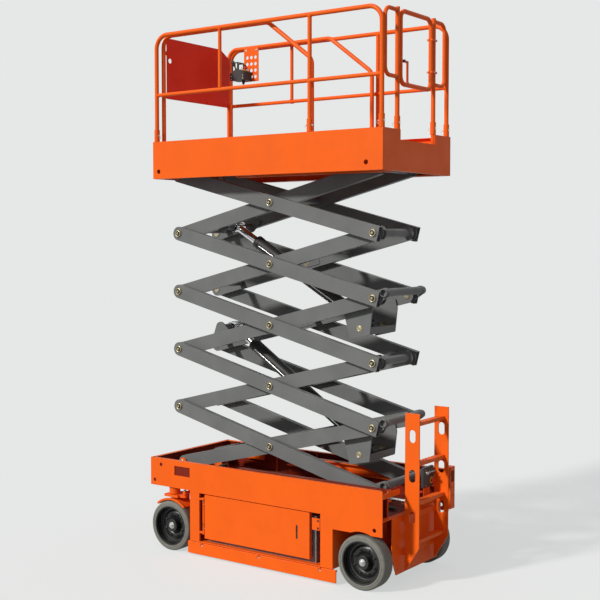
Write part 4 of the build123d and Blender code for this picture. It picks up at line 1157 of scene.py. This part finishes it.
rails = {
    "y": 0.476, "rearX": -1.01537, "frontX": 1.119, "midZ": 3.712, "topZ": 4.19, "posts": (-0.395, 0.457),
    "tube": 0.017, "bar": 0.015, "barBead": 0.016, "tubeBead": 0.02, "bead": 0.0026,
    "collared": (-1.01537, -0.395, 1.119), "collarZ": (3.34, 3.43), "gatePostY": 0.265, "gateBarZ": 4.185,
}
rearLipX, frontLipX = machine["deckRearX"] + 0.004, machine["deckFrontX"] - 0.004
platform = {
    "lipX": (rearLipX, frontLipX), "topLipY": (0.495, 0.462), "lowLipY": (0.495, 0.455), "endLipY": 0.49,
    "topLipZ": (machine["toeZ"] - 0.0045, machine["toeZ"] - 0.0005),
    "lowLipZ": (machine["deckUnderZ"] + 0.0005, machine["deckUnderZ"] + 0.0055),
    "endLips": ((rearLipX, rearLipX + 0.032), (frontLipX - 0.032, frontLipX)),
    "ribs": (-0.93, -0.62, -0.3, 0.05, 0.4, 0.72, 0.94), "rib": 0.004, "ribY": 0.185,
    "ribZ": (machine["deckZ"] - 0.028, machine["deckZ"] - 0.002),
    "guideX": (-0.99, 1.1), "guideY": (0.446, 0.452), "guideZ": (machine["deckZ"], machine["deckZ"] + 0.022),
    "eyeX": -0.96, "eyeY": 0.3, "eyeZ": machine["deckZ"] + 0.02, "eye": 0.017, "eyeWire": 0.005,
    "eyePlate": 0.022, "eyePlateZ": (machine["deckZ"], machine["deckZ"] + 0.006),
}
lockPin = {
    "z": 3.385, "radius": 0.0052, "cornerReach": 0.023, "middleReach": 0.031, "head": (0.0235, 0.0215),
    "headRadius": 0.009, "neck": 0.022, "ringOut": 0.03, "ringZ": 3.374, "ring": 0.0115, "wire": 0.0014,
}


def addBarBead(bm, centre, axis, radius=rails["barBead"]):
    addRing(bm, centre, axis, radius, rails["bead"], 22, 6)


def addLockPin(bm, x, y):
    z, radius, inside = lockPin["z"], lockPin["radius"], 1 if x < 0 else -1
    reach = lockPin["cornerReach"] if abs(x) > 1 else lockPin["middleReach"]
    headStart, headEnd = lockPin["head"]
    ringX = x + inside * lockPin["ringOut"]
    addRod(bm, (x - reach, y, z), (x + reach, y, z), radius, 14)
    addRod(bm, (x - headStart, y, z), (x - headEnd, y, z), lockPin["headRadius"], 18)
    addRod(bm, (x + inside * lockPin["neck"], y, z), (ringX, y, z), radius, 14)
    addRing(bm, (ringX, y, lockPin["ringZ"]), acrossY, lockPin["ring"], lockPin["wire"], 24, 6)


def dressPlatform():
    lips = bmesh.new()
    for sign in (-1, 1):
        addSideBox(lips, sign, platform["lipX"], platform["topLipY"], platform["topLipZ"])
        addSideBox(lips, sign, platform["lipX"], platform["lowLipY"], platform["lowLipZ"])
    for xs in platform["endLips"]:
        addMiddleBox(lips, xs, platform["endLipY"], platform["lowLipZ"])
    # cross ribs under the deck, between the tracks
    for ribX in platform["ribs"]:
        xs = (ribX - platform["rib"], ribX + platform["rib"])
        addMiddleBox(lips, xs, platform["ribY"], platform["ribZ"])
    asPiece("platform_lips", lips, "platform", orangePaint, 0.0012)

    beads, alongAxis = bmesh.new(), Vector((1, 0, 0))
    tubeBead = (rails["tubeBead"], rails["bead"], 24, 6)
    for sign in (-1, 1):
        y, gateY = sign * rails["y"], sign * rails["gatePostY"]
        for postX in rails["posts"]:
            addBarBead(beads, (postX, y, rails["topZ"] - rails["tube"]), upZ)
            for side in (-1, 1):
                addBarBead(beads, (postX, y, rails["midZ"] + side * rails["bar"]), upZ, rails["bar"])
        for endX in (rails["rearX"] + rails["tube"], rails["frontX"] - rails["tube"]):
            addBarBead(beads, (endX, y, rails["midZ"]), alongAxis)
        for barZ in (rails["gateBarZ"], rails["midZ"]):
            addBarBead(beads, (rails["rearX"], gateY + sign * rails["tube"], barZ), acrossY)
        collared = [(postX, y) for postX in rails["collared"]] + [(rails["rearX"], gateY)]
        for postX, postY in collared:
            for collarZ in rails["collarZ"]:
                addRing(beads, (postX, postY, collarZ), upZ, *tubeBead)
    asPiece("rail_weld_beads", beads, "platform", weldPaint)

    # lock pins through the collars, with their pull rings
    pins = bmesh.new()
    for sign in (-1, 1):
        for postX in rails["collared"]:
            addLockPin(pins, postX, sign * rails["y"])
        addLockPin(pins, rails["rearX"], sign * rails["gatePostY"])
    asPiece("rail_lock_pins", pins, "platform", steelPlate)

    # guide strips of the roll-out deck, and lanyard eyes on the deck
    guides, eyes = bmesh.new(), bmesh.new()
    for sign in (-1, 1):
        addSideBox(guides, sign, platform["guideX"], platform["guideY"], platform["guideZ"])
    asPiece("deck_guides", guides, "platform", steelPlate, 0.001)
    half, eyeX = platform["eyePlate"], platform["eyeX"]
    for eyeY in (platform["eyeY"], -platform["eyeY"]):
        addSideBox(eyes, 1, (eyeX - half, eyeX + half), (eyeY - half, eyeY + half), platform["eyePlateZ"])
        addRing(eyes, (eyeX, eyeY, platform["eyeZ"]), acrossY, platform["eye"], platform["eyeWire"], 28)
    asPiece("lanyard_eyes", eyes, "platform", zincPlate)


gateTrim = {
    "latchX": (-0.02, -0.003), "latchY": 0.189, "latch": 0.011, "loopY": 0.207, "barZ": 3.832, "loop": 0.01,
    "footX": -0.004, "footY": (0.111, 0.137), "footZ": 3.685, "foot": 0.004,
    "strapX": 0.023, "strapY": -0.2445, "strapZ": (3.8, 4.04),
}


def dressGate():
    latch, beads, caps = bmesh.new(), bmesh.new(), bmesh.new()
    x, barZ = rails["rearX"], gateTrim["barZ"]
    ends = [(x + shift, gateTrim["latchY"], barZ) for shift in gateTrim["latchX"]]
    addRod(latch, *ends, gateTrim["latch"], 18)
    asPiece("gate_latch", latch, "entry_gate", boxPlastic, 0.002)
    addRing(beads, (x, gateTrim["loopY"], barZ), acrossY, gateTrim["loop"], rails["bead"], 18, 6)
    ends = [(x + gateTrim["footX"], footY, gateTrim["footZ"]) for footY in gateTrim["footY"]]
    addRod(beads, *ends, gateTrim["foot"], 8)
    asPiece("gate_weld_beads", beads, "entry_gate", weldPaint)
    for strapZ in gateTrim["strapZ"]:
        for side in (-1, 1):
            spot = (x + side * gateTrim["strapX"], gateTrim["strapY"], strapZ)
            addBolt(caps, spot, (side, 0, 0), *boltSize["strap"])
    asPiece("gate_strap_bolts", caps, "platform", zincPlate)


controls = {
    "lever": (0.93, -0.335, 3.975), "leverAxis": (0.477, 0, 0.879), "stem": (0.04, 0.07),
    "stemRadius": 0.0062,
    "boot": [  # rubber bellows at the lever's foot: radius, and distance up the lever
        (0, 0.044), (0.008, 0.044), (0.009, 0.036), (0.014, 0.03), (0.013, 0.024), (0.019, 0.018),
        (0.018, 0.012), (0.025, 0.006), (0.027, 0.0), (0, 0.0),
    ],
    "grip": [
        (0, 0.125), (0.009, 0.123), (0.0145, 0.114), (0.0155, 0.1), (0.0125, 0.075), (0.008, 0.066),
        (0, 0.065),
    ],
    "guardX": (0.9, 0.955), "guardY": (-0.298, -0.378), "guardZ": (3.955, 4.055), "guard": 0.0055,
    "stop": (0.857, -0.342, 3.99), "faceAxis": (-0.33, 0, 0.944), "stopUp": 0.005, "stopBase": (0.006, 0.025),
    "switchX": 0.862, "switchY": (-0.385, -0.302), "switchZ": 3.9875, "switchNut": (0.01, 0.0065),
    "toggleOut": (0.009, 0.026), "toggleLean": 0.005, "toggle": (0.0025, 0.004),
    "sideBoltX": (0.838, 0.962), "sideBoltY": -0.286, "sideBoltZ": (3.918, 3.94),
    "hangBoltX": (0.775, 0.887), "hangBoltY": -0.398, "hangBoltZ": 4.165,
    "gland": (0.87, -0.34), "glandZ": (3.905, 3.885, 3.872), "glandRadii": (0.013, 0.011, 0.008),
}


def dressControls():
    # joystick with its boot and guard, stop button, switches, gland and bracket bolts
    stick = bmesh.new()
    root, leverAxis = Vector(controls["lever"]), Vector(controls["leverAxis"])
    stemLow, stemHigh = controls["stem"]
    addLathe(stick, controls["boot"], root, leverAxis, 28)
    addRod(stick, root + leverAxis * stemLow, root + leverAxis * stemHigh, controls["stemRadius"], 14)
    addLathe(stick, controls["grip"], root, leverAxis, 24)
    asPiece("control_lever", stick, "extension", boxPlastic)

    guard = bmesh.new()
    (rearX, frontX), (lowZ, highZ) = controls["guardX"], controls["guardZ"]
    for y in controls["guardY"]:
        hoop = [(rearX, y, lowZ), (rearX, y, highZ), (frontX, y, highZ), (frontX, y, lowZ)]
        addPipe(guard, hoop, controls["guard"])
    addPipe(guard, [(rearX, y, highZ) for y in controls["guardY"]], controls["guard"])
    asPiece("lever_guard", guard, "extension", rimPaint)

    stop, ring = bmesh.new(), bmesh.new()
    face, faceAxis = Vector(controls["stop"]), Vector(controls["faceAxis"])
    addLathe(stop, mushroom, face + faceAxis * controls["stopUp"], faceAxis, 32)
    asPiece("stop_button", stop, "extension", redPlastic)
    baseHeight, baseRadius = controls["stopBase"]
    addRod(ring, face, face + faceAxis * baseHeight, baseRadius, 32)
    asPiece("stop_button_base", ring, "extension", yellowPlastic, 0.001)

    switches = bmesh.new()
    (nutOut, nutRadius), (toggleIn, toggleOut) = controls["switchNut"], controls["toggleOut"]
    lean, (thin, thick) = Vector((controls["toggleLean"], 0, 0)), controls["toggle"]
    for switchY in controls["switchY"]:
        spot = Vector((controls["switchX"], switchY, controls["switchZ"]))
        addRod(switches, spot, spot + faceAxis * nutOut, nutRadius, 6)
        addRod(switches, spot + faceAxis * toggleIn, spot + faceAxis * toggleOut + lean, thin, 10, thick)
    for boltX in controls["sideBoltX"]:
        for boltZ in controls["sideBoltZ"]:
            addBolt(switches, (boltX, controls["sideBoltY"], boltZ), acrossY, *boltSize["console"])
    for boltX in controls["hangBoltX"]:
        spot = (boltX, controls["hangBoltY"], controls["hangBoltZ"])
        addBolt(switches, spot, acrossY, *boltSize["hanger"])
    asPiece("console_switches", switches, "extension", steelPlate)

    gland = bmesh.new()
    top, neck, foot = ((*controls["gland"], z) for z in controls["glandZ"])
    nutRadius, neckRadius, footRadius = controls["glandRadii"]
    addRod(gland, top, neck, nutRadius, 6)
    addRod(gland, neck, foot, neckRadius, 20, footRadius)
    asPiece("console_gland", gland, "extension", hoseRubber)


rollOut = {
    "frontX": 1.095, "rearX": -0.375, "y": 0.419, "barY": 0.402, "topZ": 4.06,
    "footZ": machine["deckZ"] + 0.008, "footBead": 0.019, "footWire": 0.0035,
    "plateX": (-0.4, -0.345), "plateY": (0.439, 0.39),
    "plateZ": (machine["deckZ"] + 0.006, machine["deckZ"] + 0.013),
    "latchX": (-0.398, -0.34), "latchY": 0.06, "latchZ": (machine["deckZ"] + 0.006, machine["deckZ"] + 0.012),
    "boltX": (-0.385, -0.36), "boltY": 0.399,
    "pedalX": -0.372, "pedalY": 0.04, "pedalZ": machine["deckZ"] + 0.02, "pedal": 0.008,
    "rivet": [(0, 0.0035), (0.004, 0.003), (0.0065, 0.0), (0, 0.0)], "rivetX": 1.0758,
    "rivetY": (-0.33, -0.11, 0.11, 0.33),
}


def dressExtension():
    beads, plates, rivets, fixings = bmesh.new(), bmesh.new(), bmesh.new(), bmesh.new()
    barLevels = (rails["midZ"], rollOut["topZ"])
    for sign in (-1, 1):
        for barZ in barLevels:
            addBarBead(beads, (rollOut["frontX"], sign * rollOut["barY"], barZ), acrossY)
        for postX in (rollOut["rearX"], rollOut["frontX"]):
            centre = (postX, sign * rollOut["y"], rollOut["footZ"])
            addRing(beads, centre, upZ, rollOut["footBead"], rollOut["footWire"], 24, 6)
    asPiece("extension_weld_beads", beads, "extension", weldPaint)

    # foot plates of the rear posts with their bolts, and the plate and bar of the foot latch
    for sign in (-1, 1):
        addSideBox(plates, sign, rollOut["plateX"], rollOut["plateY"], rollOut["plateZ"])
        for boltX in rollOut["boltX"]:
            spot = (boltX, sign * rollOut["boltY"], rollOut["plateZ"][1])
            addBolt(fixings, spot, upZ, *boltSize["strap"])
    addMiddleBox(plates, rollOut["latchX"], rollOut["latchY"], rollOut["latchZ"])
    asPiece("extension_foot_plates", plates, "extension", orangePaint, 0.001)
    for rivetY in rollOut["rivetY"]:
        for barZ in barLevels:
            addLathe(rivets, rollOut["rivet"], (rollOut["rivetX"], rivetY, barZ), (-1, 0, 0), 16)
    asPiece("panel_rivets", rivets, "extension", panelPaint)
    ends = [(rollOut["pedalX"], sign * rollOut["pedalY"], rollOut["pedalZ"]) for sign in (-1, 1)]
    addRod(fixings, *ends, rollOut["pedal"], 14)
    asPiece("extension_fixings", fixings, "extension", zincPlate)


dressPlatform()
dressGate()
dressControls()
dressExtension()
print("platform dressed")


# Camera, light and floor

stageSettings = {
    "cameraPlace": (-5.1986, 7.3157, 2.5468), "cameraYaw": 0.6207, "cameraPitch": 0.0536,
    "focalPixels": 1129.18, "imageWidth": 600, "sensorWidth": 36.0,
    "backdrop": (0.783, 0.807, 0.799), "skyLight": (0.34, 0.315, 0.34), "bounce": 0.3,
    "sunStrength": 2.9, "sunFrom": (0.30, 0.80, 0.52), "sunAngle": 6.0, "shadowShare": 0.3,
}


def makeCamera(given):
    yaw, pitch = given["cameraYaw"], given["cameraPitch"]
    forward = Vector((sin(yaw) * cos(pitch), -cos(yaw) * cos(pitch), -sin(pitch)))
    data = bpy.data.cameras.new("photoCamera")
    data.sensor_width = given["sensorWidth"]
    data.lens = given["focalPixels"] / given["imageWidth"] * given["sensorWidth"]
    data.clip_end = 200
    camera = bpy.data.objects.new("photoCamera", data)
    camera.rotation_mode = "QUATERNION"
    camera.rotation_quaternion = forward.to_track_quat("-Z", "Y")
    camera.location = given["cameraPlace"]
    bpy.context.scene.collection.objects.link(camera)
    bpy.context.scene.camera = camera


def seenRays(tree):
    # 1 for camera, glossy and transmission rays, 0 for the rays that carry light
    path = node(tree, "ShaderNodeLightPath")
    seen = mathNode(tree, "MAXIMUM", path.outputs["Is Camera Ray"], path.outputs["Is Glossy Ray"])
    return mathNode(tree, "MAXIMUM", seen, path.outputs["Is Transmission Ray"])


def makeWorld(given):
    world = bpy.data.worlds.new("paleSky")
    bpy.context.scene.world = world
    world.use_nodes = True
    tree = world.node_tree
    tree.nodes.clear()
    out = node(tree, "ShaderNodeOutputWorld")
    seen = node(tree, "ShaderNodeBackground")
    seen.inputs["Color"].default_value = (*given["backdrop"], 1)
    light = node(tree, "ShaderNodeBackground")
    light.inputs["Color"].default_value = (*given["skyLight"], 1)
    mix = node(tree, "ShaderNodeMixShader")
    tree.links.new(seenRays(tree), mix.inputs[0])
    tree.links.new(light.outputs[0], mix.inputs[1])
    tree.links.new(seen.outputs[0], mix.inputs[2])
    tree.links.new(mix.outputs[0], out.inputs[0])


def makeSun(given):
    data = bpy.data.lights.new("softSun", "SUN")
    data.energy = given["sunStrength"]
    data.angle = radians(given["sunAngle"])
    data.color = (1.0, 0.97, 0.93)
    sun = bpy.data.objects.new("softSun", data)
    sun.rotation_mode = "QUATERNION"
    sun.rotation_quaternion = Vector(given["sunFrom"]).to_track_quat("Z", "Y")
    bpy.context.scene.collection.objects.link(sun)


def makeFloor(given):
    bm = bmesh.new()
    bmesh.ops.create_grid(bm, x_segments=1, y_segments=1, size=150)
    mesh = bpy.data.meshes.new("floor")
    bm.to_mesh(mesh)
    bm.free()
    floor = bpy.data.objects.new("floor", mesh)
    bpy.context.scene.collection.objects.link(floor)
    material = bpy.data.materials.new("paleFloor")
    material.use_nodes = True
    tree = material.node_tree
    tree.nodes.clear()
    share = given["shadowShare"]
    up = Vector(given["sunFrom"]).normalized().z
    lit = given["sunStrength"] * up / pi + given["skyLight"][1]
    shadowed = node(tree, "ShaderNodeBsdfDiffuse")
    shadowed.inputs["Color"].default_value = (share, share, share, 1)
    glow = node(tree, "ShaderNodeEmission")
    glow.inputs["Color"].default_value = tuple(channel - share * lit for channel in given["backdrop"]) + (1,)
    seen = node(tree, "ShaderNodeAddShader")
    tree.links.new(shadowed.outputs[0], seen.inputs[0])
    tree.links.new(glow.outputs[0], seen.inputs[1])
    bounce = node(tree, "ShaderNodeBsdfDiffuse")
    bounce.inputs["Color"].default_value = (given["bounce"],) * 3 + (1,)
    mix = node(tree, "ShaderNodeMixShader")
    out = node(tree, "ShaderNodeOutputMaterial")
    tree.links.new(seenRays(tree), mix.inputs[0])
    tree.links.new(bounce.outputs[0], mix.inputs[1])
    tree.links.new(seen.outputs[0], mix.inputs[2])
    tree.links.new(mix.outputs[0], out.inputs[0])
    mesh.materials.append(material)


makeCamera(stageSettings)
makeWorld(stageSettings)
makeSun(stageSettings)
makeFloor(stageSettings)
bpy.context.scene.view_settings.view_transform = "Standard"
print("camera, light and floor made")
